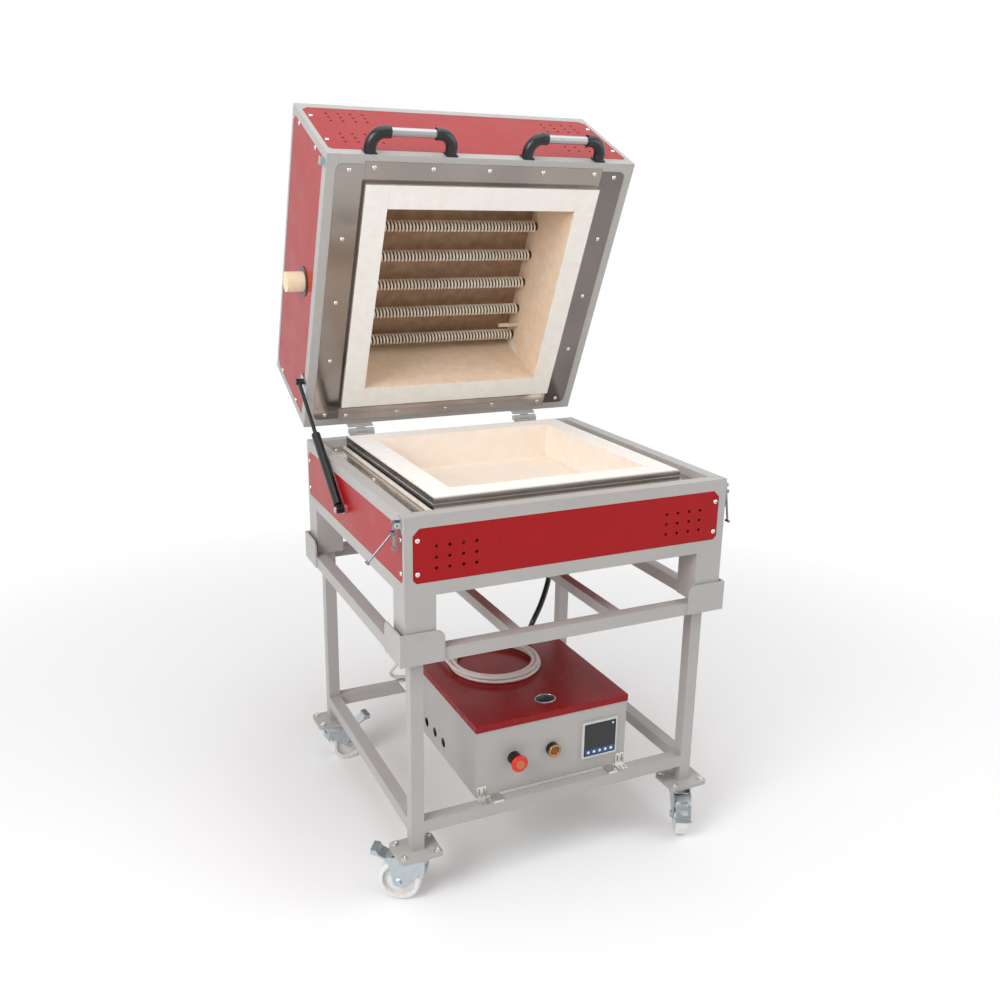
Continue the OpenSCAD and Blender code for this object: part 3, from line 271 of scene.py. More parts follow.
FRAME_PAINT = powder_coat("frame_powder_coat", "#b2afac")
PANEL_RED = powder_coat("red_powder_coat", "#a40d13", 0.3, 0.22)
BOX_RED = powder_coat("box_red_powder_coat", "#8e0f13", 0.25, 0.22)
STAINLESS = rolled_stainless("rolled_stainless", "#a59c96", 0.17)
# Brighter copy of the stainless: painted light and reflection, on the deck plates and on the lid's
# ring plate at the hinges.
STEEL_PAINTED_LIGHT = rolled_stainless("stainless_painted_light", "#e2d8d0", 0.2)
# Darker copy of the stainless: painted shade on the lid's ring plate at the right.
SHADED_STEEL = rolled_stainless("shaded_stainless", "#7e7774", 0.17)
FRONT_TRIM = rolled_stainless("front_stainless_edge", "#c6c2be", 0.16)
SCREW_STEEL = zinc_plate("screw_steel", "#d6d4d0", 0.25)
# Brighter copy of the stainless: a painted highlight along the folded trim edge.
TRIM_PAINTED_HIGHLIGHT = rolled_stainless("stainless_edge_painted_highlight", "#dedbd8", 0.2)
# Darker copy of the stainless: painted shade on the trim faces that face left.
TRIM_PAINTED_SHADE = rolled_stainless("stainless_edge_painted_shade", "#565352", 0.22)
ZINC = zinc_plate("bright_zinc", "#bcc5ca")
WORN_STEEL = zinc_plate("worn_steel", "#85878a", 0.35)
FIBRE = fibre_board("fibre_board", "#f4f1ec", "#eeeae3")
FIBRE_HOT = fibre_board("fired_fibre", "#f6ebe0", "#f3e6d8", 0.7)
FIBRE_LID = fibre_board("fired_lid_fibre", "#f2dcc5", "#e8d0b5", 0.7)
# Lid ceiling: fired fibre, darkened further as painted shade deep in the lid.
ROOF_FIBRE_FIRED_SHADED = fibre_board("roof_fibre_fired_and_painted_shade", "#b3957c", "#9a7d65", 0.7)
# Tube ceramic darkened far below its own pale colour: painted shade in the gaps between the turns
# of wire.
TUBE_CERAMIC_SHADE = fibre_board("heater_ceramic", "#5f4c3c", "#4f3e30", 0.25)
PROBE = fibre_board("probe_ceramic", "#e6d8c2", "#d8c6a8", 0.2)
PLUG_CERAMIC = fibre_board("plug_ceramic", "#f8ebcf", "#f1deb8", 0.2)
WIRE = wound_wire("resistance_wire", "#fff2e6")
BLACK_PLASTIC = moulded_plastic("black_plastic", "#111113", 0.27)
BLACK_ENAMEL = moulded_plastic("black_enamel", "#0f0f11", 0.3, 2.0)
GRIP = drawn_aluminium("satin_aluminium")
NYLON = nylon("wheel_nylon", "#e9e8e6")
CORD_SHEATH = moulded_plastic("white_sheath", "#e6e2dc", 0.45, 3.0)
STOP_RED = moulded_plastic("stop_red", "#d8261c", 0.25, 2.0)
STOP_CENTRE = moulded_plastic("stop_centre", "#b9713f", 0.4, 2.0)
LAMP_RING = zinc_plate("brass_ring", "#a5824f", 0.36)
LAMP_LENS = moulded_plastic("lamp_lens", "#8a3b22", 0.15, 2.0)
BEZEL = moulded_plastic("light_bezel", "#cfd0cf", 0.4)
SCREEN = display_glass("display_window")
SCREEN_BLUE = moulded_plastic("blue_key_field", "#21497f", 0.25, 2.0)
KEY_WHITE = moulded_plastic("white_key", "#eef1f4", 0.35, 1.0)
PEDAL_GREY = moulded_plastic("pedal_grey", "#9aa0a5", 0.5, 1.5)
GASKET = fibre_board("rope_gasket", "#d9d2cb", "#cbc3bb", 0.6)
DEVICE = moulded_plastic("device_plastic", "#8d9094")

NODE_MATERIALS = {
    FRAME_PAINT: (
        "stand_legs stand_cross_rails stand_side_rails corner_pockets base_rails"
        " kiln_corner_posts lid_rails lid_posts control_box_body caster_plates"
    ),
    PANEL_RED: "base_panels lid_panels",
    BOX_RED: "control_box_lid",
    STAINLESS: "lid_ring_plates",
    # Painted light: the deck plates wear the brighter copy of the stainless.
    STEEL_PAINTED_LIGHT: "base_deck_plates",
    ZINC: (
        "base_fittings lid_fittings brake_pedal_front_left brake_pedal_back_left"
        " caster_fork_front_left caster_fork_front_right caster_fork_back_left"
        " caster_fork_back_right"
    ),
    SCREW_STEEL: "control_box_supports",
    WORN_STEEL: "latch_lever_left latch_lever_right latch_hook_left latch_hook_right",
    FIBRE: "base_wall_boards lid_wall_boards",
    FIBRE_HOT: "base_floor_slab",
    # The lid's ceiling is partly fired colour and partly painted shade.
    ROOF_FIBRE_FIRED_SHADED: "lid_ceiling_slab",
    # Painted shade: the darkened ceramic shows as shade between the windings.
    TUBE_CERAMIC_SHADE: "heating_tubes",
    PROBE: "thermocouple",
    PLUG_CERAMIC: "vent_plug",
    BLACK_PLASTIC: "handle_legs button_collars cable_glands",
    BLACK_ENAMEL: "strut_cylinder_left strut_rod_left",
    GRIP: "handle_grips",
    NYLON: (
        "caster_wheel_front_left caster_wheel_front_right caster_wheel_back_left"
        " caster_wheel_back_right"
    ),
    CORD_SHEATH: "mains_plug",
    BEZEL: "temperature_controller",
    DEVICE: "control_gear",
}
BEVEL_ANGLE = math.radians(40)
EDGE_SOFTNESS = {FRAME_PAINT: 1.6, PANEL_RED: 0.4, BOX_RED: 1.2, FIBRE: 1.5, NYLON: 1.0}


def wear(obj, material):
    """Gives a CAD node's object its material."""
    obj.data.materials.clear()
    obj.data.materials.append(material)


def soften(obj, width):
    """Rounds the visible edges by a width in millimetres."""
    bevel = obj.modifiers.new("soft_edges", "BEVEL")
    bevel.width = width * MM
    bevel.segments = 2
    bevel.limit_method = "ANGLE"
    bevel.angle_limit = BEVEL_ANGLE
    bevel.harden_normals = True


def paint_faces(obj, material, chosen):
    """A second material on the faces whose middle and normal are chosen."""
    obj.data.materials.append(material)
    slot = len(obj.data.materials) - 1
    for face in obj.data.polygons:
        if chosen(face.center, face.normal):
            face.material_index = slot


def finish_nodes():
    for material, names in NODE_MATERIALS.items():
        for name in names.split():
            wear(NODES[name], material)
            if material in EDGE_SOFTNESS:
                soften(NODES[name], EDGE_SOFTNESS[material])


# Mesh building


SHARP_ANGLE = math.radians(38)


def add_piece(name, mesh, material, body, matrix=KILN_MATRIX):
    """One new object that rides on a body; its mesh is in metres before the matrix."""
    obj = bpy.data.objects.new(name, mesh)
    bpy.context.collection.objects.link(obj)
    mesh.transform(matrix)
    if not mesh.materials:
        mesh.materials.append(material)
    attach(obj, body)
    return obj


def to_mesh(name, bm):
    """A smooth mesh with its sharp edges kept."""
    bmesh.ops.recalc_face_normals(bm, faces=bm.faces)
    mesh = bpy.data.meshes.new(name)
    bm.to_mesh(mesh)
    bm.free()
    for face in mesh.polygons:
        face.use_smooth = True
    mesh.set_sharp_from_angle(angle=SHARP_ANGLE)
    return mesh


def frame_from(axis):
    """Rotation that turns +Z to the axis."""
    return Vector((0, 0, 1)).rotation_difference(Vector(axis)).to_matrix().to_4x4()


def add_lathe(bm, profile, at, axis, segments=24):
    """Turns a profile of (radius, height) pairs in millimetres about an axis."""
    matrix = Matrix.Translation(Vector(at) * MM) @ frame_from(axis)
    rings = []
    for radius, height in profile:
        if radius == 0:
            rings.append([bm.verts.new(matrix @ (Vector((0, 0, height)) * MM))])
            continue
        rings.append([])
        for k in range(segments):
            a = 2 * math.pi * k / segments
            spot = Vector((radius * math.cos(a), radius * math.sin(a), height)) * MM
            rings[-1].append(bm.verts.new(matrix @ spot))
    for low, high in zip(rings, rings[1:]):
        for k in range(segments):
            corners = [low[k % len(low)], low[(k + 1) % len(low)]]
            corners += [high[(k + 1) % len(high)], high[k % len(high)]]
            unique = list(dict.fromkeys(corners))
            if len(unique) > 2:
                bm.faces.new(unique)


def add_tube(bm, points, radius, sides=8, closed=False, up=Vector((0, 0, 1))):
    """Sweeps a round section of a radius in millimetres along points in millimetres."""
    rings = []
    count = len(points)
    for i, point in enumerate(points):
        before = points[(i - 1) % count] if closed or i > 0 else point
        after = points[(i + 1) % count] if closed or i < count - 1 else point
        along = (Vector(after) - Vector(before)).normalized()
        lift = up(i) if callable(up) else up
        side = along.cross(lift).normalized()
        over = side.cross(along)
        ring = []
        for k in range(sides):
            a = 2 * math.pi * k / sides
            spot = Vector(point) + radius * (math.cos(a) * side + math.sin(a) * over)
            ring.append(bm.verts.new(spot * MM))
        rings.append(ring)
    pairs = list(zip(rings, rings[1:] + rings[:1])) if closed else list(zip(rings, rings[1:]))
    for low, high in pairs:
        for k in range(sides):
            bm.faces.new([low[k], low[(k + 1) % sides], high[(k + 1) % sides], high[k]])
    if not closed:
        bm.faces.new(rings[0][::-1])
        bm.faces.new(rings[-1])


def add_block(bm, low, high, bevel):
    """A box between two corners in millimetres, its edges rounded."""
    size = [b - a for a, b in zip(low, high)]
    middle = [(a + b) / 2 for a, b in zip(low, high)]
    matrix = Matrix.Translation(Vector(middle) * MM) @ Matrix.Diagonal((*[s * MM for s in size], 1))
    made = bmesh.ops.create_cube(bm, size=1, matrix=matrix)
    edges = list({e for v in made["verts"] for e in v.link_edges})
    bmesh.ops.bevel(bm, geom=edges, offset=bevel * MM, segments=2, affect="EDGES")


def block_at(bm, spot, box, bevel):
    """A rounded box whose two corners are counted from a spot."""
    low, high = [[a + b for a, b in zip(spot, corner)] for corner in box]
    add_block(bm, low, high, bevel)


# Camera

CAMERA_SPOT = (-1053.1, -2183.9, 1550.3)
CAMERA_AZIMUTH = math.radians(25.56)
CAMERA_ELEVATION = math.radians(16.54)
CAMERA_ROLL = math.radians(0.96)
CAMERA_LENS = 36.13
SENSOR_WIDTH = 36
CLIP_END = 50


def make_camera():
    camera = bpy.data.objects.new("camera", bpy.data.cameras.new("camera"))
    bpy.context.collection.objects.link(camera)
    camera.data.lens = CAMERA_LENS
    camera.data.sensor_width = SENSOR_WIDTH
    camera.data.clip_end = CLIP_END
    az, el = CAMERA_AZIMUTH, CAMERA_ELEVATION
    forward = Vector((math.sin(az) * math.cos(el), math.cos(az) * math.cos(el), -math.sin(el)))
    level = Vector((math.cos(az), -math.sin(az), 0))
    rise = level.cross(forward)
    right = math.cos(CAMERA_ROLL) * level + math.sin(CAMERA_ROLL) * rise
    up = right.cross(forward)
    turn = Matrix((right, up, -forward)).transposed()
    camera.matrix_world = Matrix.Translation(kiln(*CAMERA_SPOT)) @ turn.to_4x4()
    bpy.context.scene.camera = camera


# Cords: the routes repeat the solids' own points, in kiln millimetres

CORD_R = 5
CONDUIT_R = 7.5
CONDUIT_ROUTE = [
    (215, 140, 774), (215, 139, 745), (213, 133, 700), (207, 118, 630), (193, 100, 560),
    (160, 78, 497), (124, 66, 440), (118, 78, 390), (124, 96, 340), (128, 104, 290),
    (128, 92, 254), (128, 72, 241), (128, 59, 240),
]
LEAD_ROUTE = [
    (85, 59, 320), (85, 75, 320), (85, 95, 326), (85, 108, 343), (85, 111, 364),
    (85, 104, 386), (85, 88, 399), (85, 66, 403), (85, 40, 404), (85, 10, 404), (85, -20, 404),
]
TAIL_ROUTE = [
    (-151, -20, 415), (-151, 0, 415), (-152, 60, 414), (-158, 120, 404), (-168, 180, 378),
    (-180, 240, 330), (-190, 290, 280), (-193, 324, 247), (-186, 337, 228), (-168, 336, 219),
    (-145, 331, 219), (-118, 329, 218), (-85, 329, 224), (-60, 329, 225),
]
COIL_SPOT = (-33, -30, 403.8)
COIL_R = 118
COIL_LOOPS = 3.5
LOOP_STEP = 11
LAYER_STEP = 10.6
CLIMB_LOOPS = 0.5


def smooth_route(route, steps):
    """Catmull-Rom points through a route."""
    points = []
    p = [Vector(q) for q in route]
    for i in range(len(p) - 1):
        a, b, c, d = p[max(i - 1, 0)], p[i], p[i + 1], p[min(i + 2, len(p) - 1)]
        for s in range(steps):
            t = s / steps
            points.append(
                0.5
                * (
                    2 * b
                    + (c - a) * t
                    + (2 * a - 5 * b + 4 * c - d) * t * t
                    + (3 * b - a - 3 * c + d) * t**3
                )
            )
    points.append(p[-1])
    return points


def coil_points(steps=40):
    """Loops that spiral in on the lower layer, climb, and spiral out on the upper one."""
    points = []
    half = COIL_LOOPS / 2
    for i in range(int(COIL_LOOPS * steps) + 1):
        t = i / steps
        radius = COIL_R - LOOP_STEP * (half - abs(t - half))
        u = min(max(t - half + CLIMB_LOOPS / 2, 0) / CLIMB_LOOPS, 1)
        lift = LAYER_STEP * u * u * (3 - 2 * u)
        a = -2 * math.pi * t
        x, y, z = COIL_SPOT
        points.append(Vector((x + radius * math.cos(a), y + radius * math.sin(a), z + lift)))
    return points


def cord_curve(name, points, radius, material):
    """An open poly curve with a round section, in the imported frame."""
    data = bpy.data.curves.new(name, "CURVE")
    data.dimensions = "3D"
    data.bevel_depth = radius * MM
    data.bevel_resolution = 4
    data.use_fill_caps = True
    spline = data.splines.new("POLY")
    spline.points.add(len(points) - 1)
    for target, point in zip(spline.points, points):
        target.co = (*kiln(*point), 1)
    data.materials.append(material)
    obj = bpy.data.objects.new(name, data)
    bpy.context.collection.objects.link(obj)
    return obj


def make_conduit():
    """Black conduit from the kiln's floor to the back of the control box."""
    route = smooth_route(CONDUIT_ROUTE, 5)
    conduit = cord_curve("kiln_conduit", route, CONDUIT_R, BLACK_PLASTIC)
    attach(conduit, "frame")
    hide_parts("conduit")


def make_mains_cord():
    """White cord from the control box, coiled on its lid, with its plug on the back rail."""
    loops = coil_points()
    route = smooth_route(LEAD_ROUTE, 4) + loops + smooth_route(TAIL_ROUTE, 5)
    cord = cord_curve("mains_cord", route, CORD_R, CORD_SHEATH)
    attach(cord, "frame")
    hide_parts("mains_cord_lead", "mains_cord_coil", "mains_cord_tail")


# Heating

ROD_PITCH = 84
ROD_COUNT = 6
ROD_UP = 160
ROD_R = 10
TURNS = 50
STEPS_PER_TURN = 14
WIRE_R = 2.7
WINDING_INSET = 8
WIRE_INSET = 0.5


def winding_points(y):
    """One unbroken wire round the rod at y, with a straight lead into each wall."""
    wind_r = ROD_R + WIRE_R
    half = CHAMBER_W / 2 - WINDING_INSET
    lead = CHAMBER_W / 2 - WIRE_INSET
    points = [Vector((-lead, y + wind_r, ROD_UP))]
    for i in range(TURNS * STEPS_PER_TURN + 1):
        a = 2 * math.pi * i / STEPS_PER_TURN
        x = -half + 2 * half * i / (TURNS * STEPS_PER_TURN)
        points.append(Vector((x, y + wind_r * math.cos(a), ROD_UP + wind_r * math.sin(a))))
    points.append(Vector((lead, y + wind_r, ROD_UP)))
    return points


def make_windings():
    """Close windings of wire on the six ceramic tubes."""
    bm = bmesh.new()
    for rod in range(ROD_COUNT):
        y = (rod - (ROD_COUNT - 1) / 2) * ROD_PITCH
        points = winding_points(y)

        def away_from_rod(i, points=points, y=y):
            return Vector((0, points[i].y - y, points[i].z - ROD_UP))

        add_tube(bm, points, WIRE_R, 6, up=away_from_rod)
    mesh = to_mesh("heating_windings", bm)
    piece = add_piece("heating_windings", mesh, WIRE, "lid", LID_MATRIX)
    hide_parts("heating_coils")


# Screws: their places repeat the solids' own, in kiln or lid millimetres

SCREW_PROFILE = [
    (2.4, -1.2), (5.6, 0), (5.6, 1.0), (5.0, 2.2), (3.8, 2.9), (2.4, 3.1), (2.2, 1.4), (0, 1.3),
]
BOLT_PROFILE = [(6.8, 0), (6.8, 3.4), (6.2, 4.9), (3.8, 5.0), (3.6, 2.6), (0, 2.5)]
WASHER_PROFILE = [(4, 0), (8.4, 0), (8.4, 1.2), (7.9, 1.5), (4, 1.5)]
WASHER_T = 1.5
NUT_PROFILE = [(0, 0), (6.5, 0), (7, -0.8), (7, -4.6), (6, -5), (4, -5), (4, -7), (0, -7)]
NUT_Z = 125
PLATE_TOP = 134
BOLT_X = 40
BOLT_Y = 30
TUBE = 30
LEG_X = 364
LEG_Y = 329
DECK_DROP = 20
DECK_HOLE_X = 307
BASE_FRONT_SCREW_X = 371
BASE_SIDE_SCREW_Y = 352
BASE_SCREW_DROPS = (53, 126)
LID_FRONT_SCREW_X = 378
LID_FRONT_SCREW_Z = (82, LID_H - 77)
LID_SIDE_SCREW_Y = 347
LID_SIDE_SCREW_Z = (93, LID_H - 64)
DECK_SCREW_END = 60
RING_SCREW_X = (-288, -144, 0, 144, 288)
RING_SCREW_ENDS = (36, 204)
RING_SCREW_SIDE = 53
RING_SCREW_FRONT = 29
RING_FACE = -1.5


def face_screws(places_w, places_z, half, sides):
    """Screw places on two opposite upright faces: (point, outward axis)."""
    spots = []
    for sign in (-1, 1):
        for u in places_w:
            for z in places_z:
                if sides:
                    spots.append(((sign * (half - SIDE_PANEL_SINK), u, z), (sign, 0, 0)))
                else:
                    spots.append(((u, sign * (half - SIDE_PANEL_SINK), z), (0, sign, 0)))
    return spots


def caster_bolts(bm):
    """Washer, bolt head and nut at each corner of the four caster plates."""
    for sx, sy, bx, by in itertools.product((-1, 1), (-1, 1), (-BOLT_X, BOLT_X), (-BOLT_Y, BOLT_Y)):
        x, y = sx * LEG_X + bx, sy * LEG_Y + by
        add_lathe(bm, WASHER_PROFILE, (x, y, PLATE_TOP), (0, 0, 1))
        add_lathe(bm, BOLT_PROFILE, (x, y, PLATE_TOP + WASHER_T), (0, 0, 1))
        add_lathe(bm, NUT_PROFILE, (x, y, NUT_Z), (0, 0, 1), 6)


def make_frame_screws():
    """Screws of the lower panels and the deck, and the casters' bolts."""
    half_w, half_d = BODY_W / 2, BODY_D / 2
    rows = [RING_Z - drop for drop in BASE_SCREW_DROPS]
    spots = face_screws([-BASE_FRONT_SCREW_X, BASE_FRONT_SCREW_X], rows, half_d, False)
    spots += face_screws([-BASE_SIDE_SCREW_Y, BASE_SIDE_SCREW_Y], rows, half_w, True)
    for sign in (-1, 1):
        for y in (-half_d + DECK_SCREW_END, 0, half_d - DECK_SCREW_END):
            x = sign * (DECK_HOLE_X + half_w - TUBE) / 2
            spots.append(((x, y, RING_Z - DECK_DROP), (0, 0, 1)))
    bm = bmesh.new()
    for point, axis in spots:
        add_lathe(bm, SCREW_PROFILE, point, axis)
    caster_bolts(bm)
    piece = add_piece("frame_screws", to_mesh("frame_screws", bm), SCREW_STEEL, "frame")
    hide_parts("frame_fasteners")


def make_lid_screws():
    """Screws of the lid's panels and ring plates."""
    half_w, half_d = BODY_W / 2, BODY_D / 2
    spots = face_screws([-LID_FRONT_SCREW_X, LID_FRONT_SCREW_X], LID_FRONT_SCREW_Z, half_d, False)
    spots += face_screws([-LID_SIDE_SCREW_Y, LID_SIDE_SCREW_Y], LID_SIDE_SCREW_Z, half_w, True)
    end, quarter = [half_d - distance for distance in RING_SCREW_ENDS]
    for sign in (-1, 1):
        for y in (-end, -quarter, 0, quarter, end):
            spots.append(((sign * (half_w - RING_SCREW_SIDE), y, RING_FACE), (0, 0, -1)))
        for x in RING_SCREW_X:
            spots.append(((x, sign * (half_d - RING_SCREW_FRONT), RING_FACE), (0, 0, -1)))
    bm = bmesh.new()
    for point, axis in spots:
        add_lathe(bm, SCREW_PROFILE, point, axis)
    mesh = to_mesh("lid_panel_screws", bm)
    piece = add_piece("lid_panel_screws", mesh, SCREW_STEEL, "lid", LID_MATRIX)
    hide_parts("lid_screws")


# Small fittings

GASKET_R = 5
GASKET_CORNER = 12
GASKET_OUT = 6.5
GASKET_STEPS = 6
CLADDING_T = 3
BLOCK_HALF_X = CHAMBER_W / 2 + WALL_T + CLADDING_T
BLOCK_HALF_Y = CHAMBER_D / 2 + WALL_T + CLADDING_T


def make_gasket():
    """Rope seal that lies on the deck round the lower block."""
    half_x = BLOCK_HALF_X + GASKET_OUT
    half_y = BLOCK_HALF_Y + GASKET_OUT
    corner = GASKET_CORNER
    points = []
    for index, (sx, sy) in enumerate(((1, -1), (1, 1), (-1, 1), (-1, -1))):
        for step in range(GASKET_STEPS + 1):
            a = math.radians(90 * (index - 1) + 90 * step / GASKET_STEPS)
            x = sx * (half_x - corner) + corner * math.cos(a)
            y = sy * (half_y - corner) + corner * math.sin(a)
            points.append(Vector((x, y, RING_Z - DECK_DROP + GASKET_R)))
    bm = bmesh.new()
    add_tube(bm, points, GASKET_R, 10, closed=True)
    piece = add_piece("deck_gasket", to_mesh("deck_gasket", bm), GASKET, "frame")


CAP_HALF = 12.2
CAP_NEAR = 0.4
CAP_FAR = 2.5
CAP_BEVEL = 0.4


def make_corner_caps():
    """Plates that close the ends of the square corner tubes."""
    half_w, half_d = BODY_W / 2 - TUBE / 2, BODY_D / 2 - TUBE / 2
    sets = (
        ("base_corner_caps", "frame", KILN_MATRIX, RING_Z - CAP_FAR, RING_Z - CAP_NEAR),
        ("lid_corner_caps", "lid", LID_MATRIX, CAP_NEAR, CAP_FAR),
        ("lid_back_caps", "lid", LID_MATRIX, LID_H - CAP_FAR, LID_H - CAP_NEAR),
    )
    for name, body, matrix, low, high in sets:
        bm = bmesh.new()
        for sx, sy in itertools.product((-1, 1), (-1, 1)):
            x, y = sx * half_w, sy * half_d
            low_corner = (x - CAP_HALF, y - CAP_HALF, low)
            add_block(bm, low_corner, (x + CAP_HALF, y + CAP_HALF, high), CAP_BEVEL)
        add_piece(name, to_mesh(name, bm), FRAME_PAINT, body, matrix)


EDGE_HALF = 1.1
EDGE_IN = 0.5
EDGE_BEVEL = 0.3


def make_trim_edges():
    """Folded edge that shows between the two darker trim bands, in a brighter copy of the stainless
    as a painted highlight along the fold.
    """
    half = BLOCK_HALF_X
    inner, outer = half - EDGE_IN, half + EDGE_HALF
    low, high = RING_Z - EDGE_HALF, RING_Z + EDGE_HALF
    bm = bmesh.new()
    for sign in (-1, 1):
        near, far = sorted((sign * inner, sign * outer))
        add_block(bm, (-outer, near, low), (outer, far, high), EDGE_BEVEL)
        add_block(bm, (near, -inner, low), (far, inner, high), EDGE_BEVEL)
    # The edge wears the brighter stainless as a painted highlight.
    piece = add_piece("trim_edge_painted_highlight", to_mesh("trim_edge_painted_highlight", bm), TRIM_PAINTED_HIGHLIGHT, "frame")


WELD_R = 2.2
WELD_POINTS_PER_SIDE = 24
WELD_OUT = 0.6
WELD_RIPPLE = 0.35
WELD_RISE = 0.4
WELD_END = 1
OUT_PACE = 2.1
RISE_PACE = 1.7
LEG_HALF = TUBE / 2


def make_welds():
    """Rippled weld beads where the legs stand on the caster plates."""
    reach = LEG_HALF + WELD_END
    bm = bmesh.new()
    for sx, sy in itertools.product((-1, 1), (-1, 1)):
        points = []
        for k in range(4 * WELD_POINTS_PER_SIDE):
            side, along = divmod(k, WELD_POINTS_PER_SIDE)
            run = reach * (2 * along / WELD_POINTS_PER_SIDE - 1)
            out = LEG_HALF + WELD_OUT + WELD_RIPPLE * math.sin(OUT_PACE * k)
            x, y = ((run, -out), (out, run), (-run, out), (-out, -run))[side]
            z = PLATE_TOP + WELD_RISE + WELD_RISE * math.sin(RISE_PACE * k + sx)
            points.append(Vector((sx * LEG_X + x, sy * LEG_Y + y, z)))
        add_tube(bm, points, WELD_R, 6, closed=True)
    piece = add_piece("leg_welds", to_mesh("leg_welds", bm), FRAME_PAINT, "frame")


GUARD_PATH = [
    (52, 117), (66, 115.5), (78, 110), (85, 102), (89, 92), (91.5, 80), (92, 68), (91, 58),
]
GUARD_ACROSS = (-19, -10, 10, 19)
GUARD_WINDOWS = (2, 4)
GUARD_RIVET = [(0, 0), (5, 0), (5, 4), (4, 5), (0, 5)]
GUARD_RIVET_SPOT = (84, 20, 62)
GUARD_T = 2
FRONT_LEFT_TURN = 145
FRONT_RIGHT_TURN = 242
BACK_LEFT_TURN = 5


def caster_place(sx, sy, turn):
    """Frame of a caster under one leg, turned by an angle in degrees."""
    spot = Matrix.Translation(kiln(sx * LEG_X, sy * LEG_Y, 0))
    return spot @ Matrix.Rotation(math.radians(turn), 4, "Z")


def make_fork_guard():
    """Pressed shield with a window, between the cheeks of the front right fork."""
    bm = bmesh.new()
    rows = []
    for x, z in GUARD_PATH:
        rows.append([bm.verts.new(Vector((x, y, z)) * MM) for y in GUARD_ACROSS])
    for i, (low, high) in enumerate(zip(rows, rows[1:])):
        for k in range(3):
            if k == 1 and i in GUARD_WINDOWS:
                continue
            bm.faces.new([low[k], low[k + 1], high[k + 1], high[k]])
    bmesh.ops.solidify(bm, geom=list(bm.faces), thickness=GUARD_T * MM)
    x, y, z = GUARD_RIVET_SPOT
    for side in (-1, 1):
        add_lathe(bm, GUARD_RIVET, (x, side * y, z), (0, side, 0), 12)
    place = caster_place(1, -1, FRONT_RIGHT_TURN)
    mesh = to_mesh("fork_guard", bm)
    piece = add_piece("fork_guard", mesh, ZINC, "caster_fork_front_right", place)


BOX_LID_TOP = 398.5
BOX_FRONT = -314
BUTTON_Z = 298
STOP_X = -112
START_X = -10
CONTROLLER_X = 120
BADGE_SPOT = (-1, -256)
BADGE_SQUEEZE = 0.8
BADGE_RIM = [(0, 0), (27, 0), (27, 1.6), (26, 2.4), (24.4, 2.4), (24, 1.8), (0, 1.8)]
BADGE_FIELD = [(0, 1.7), (23.6, 1.7), (23.4, 2.1), (20, 2.5), (0, 2.7)]
CONTROLLER_SPOT = (CONTROLLER_X, BOX_FRONT - 6, BUTTON_Z)
WINDOW = ((-44, -0.8, -43), (44, 0.4, 44))
WINDOW_BEVEL = 0.5
KEY_FIELD = ((-42, -1.1, -41), (42, 0.3, -24))
KEY_FIELD_BEVEL = 0.4
KEY_PROFILE = [(0, 0), (3.6, 0), (3.6, 0.6), (3.0, 1.0), (0, 1.1)]
KEY_COUNT = 5
KEY_PITCH = 16
KEY_OUT = 1.0
KEY_DROP = 32.5
DOT_PROFILE = [(0, 0), (2.6, 0), (2.2, 0.8), (0, 1.0)]
DOT_SPOT = (35, -0.7, 36)
STOP_HEAD = [
    (0, -10), (8, -10), (8, 25), (16.5, 25), (18.5, 26), (20.6, 30), (21, 32.5),
    (20.4, 35), (18, 37), (14.5, 37.8), (13.6, 37.2), (11.5, 37.2), (0, 37.6),
]
STOP_DISC = [(0, 37), (11, 37), (10.6, 37.9), (0, 38)]
START_CAP = [(0, -10), (10, -10), (10, 14.6), (9.4, 15.4), (8, 15.8), (0, 16)]
START_RING = [
    (10.3, 12), (16.2, 12), (16.2, 16), (15.2, 17.2), (12, 17.2), (10.3, 15.5), (10.3, 12),
]


def make_badge():
    """Plain oval plate with a bright rim on the control box's lid."""
    bm = bmesh.new()
    add_lathe(bm, BADGE_RIM, (0, 0, 0), (0, 0, 1), 48)
    mesh = to_mesh("badge_rim", bm)
    squeeze = Matrix.Diagonal((1.0, BADGE_SQUEEZE, 1.0, 1.0))
    place = Matrix.Translation(kiln(*BADGE_SPOT, BOX_LID_TOP)) @ squeeze
    add_piece("badge_rim", mesh, ZINC, "frame", place)
    bm = bmesh.new()
    add_lathe(bm, BADGE_FIELD, (0, 0, 0), (0, 0, 1), 48)
    piece = add_piece("badge_field", to_mesh("badge_field", bm), BLACK_ENAMEL, "frame", place)


def make_controller():
    """Dark window, blue key field, a row of flat keys and one lamp on the light bezel."""
    x, y, z = CONTROLLER_SPOT
    out = (0, -1, 0)
    bm = bmesh.new()
    block_at(bm, CONTROLLER_SPOT, WINDOW, WINDOW_BEVEL)
    piece = add_piece("controller_window", to_mesh("controller_window", bm), SCREEN, "frame")
    bm = bmesh.new()
    block_at(bm, CONTROLLER_SPOT, KEY_FIELD, KEY_FIELD_BEVEL)
    mesh = to_mesh("controller_key_field", bm)
    add_piece("controller_key_field", mesh, SCREEN_BLUE, "frame")
    bm = bmesh.new()
    for k in range(KEY_COUNT):
        shift = (k - (KEY_COUNT - 1) / 2) * KEY_PITCH
        add_lathe(bm, KEY_PROFILE, (x + shift, y - KEY_OUT, z - KEY_DROP), out)
    dot = [a + b for a, b in zip(CONTROLLER_SPOT, DOT_SPOT)]
    add_lathe(bm, DOT_PROFILE, dot, out, 16)
    piece = add_piece("controller_keys", to_mesh("controller_keys", bm), KEY_WHITE, "frame")


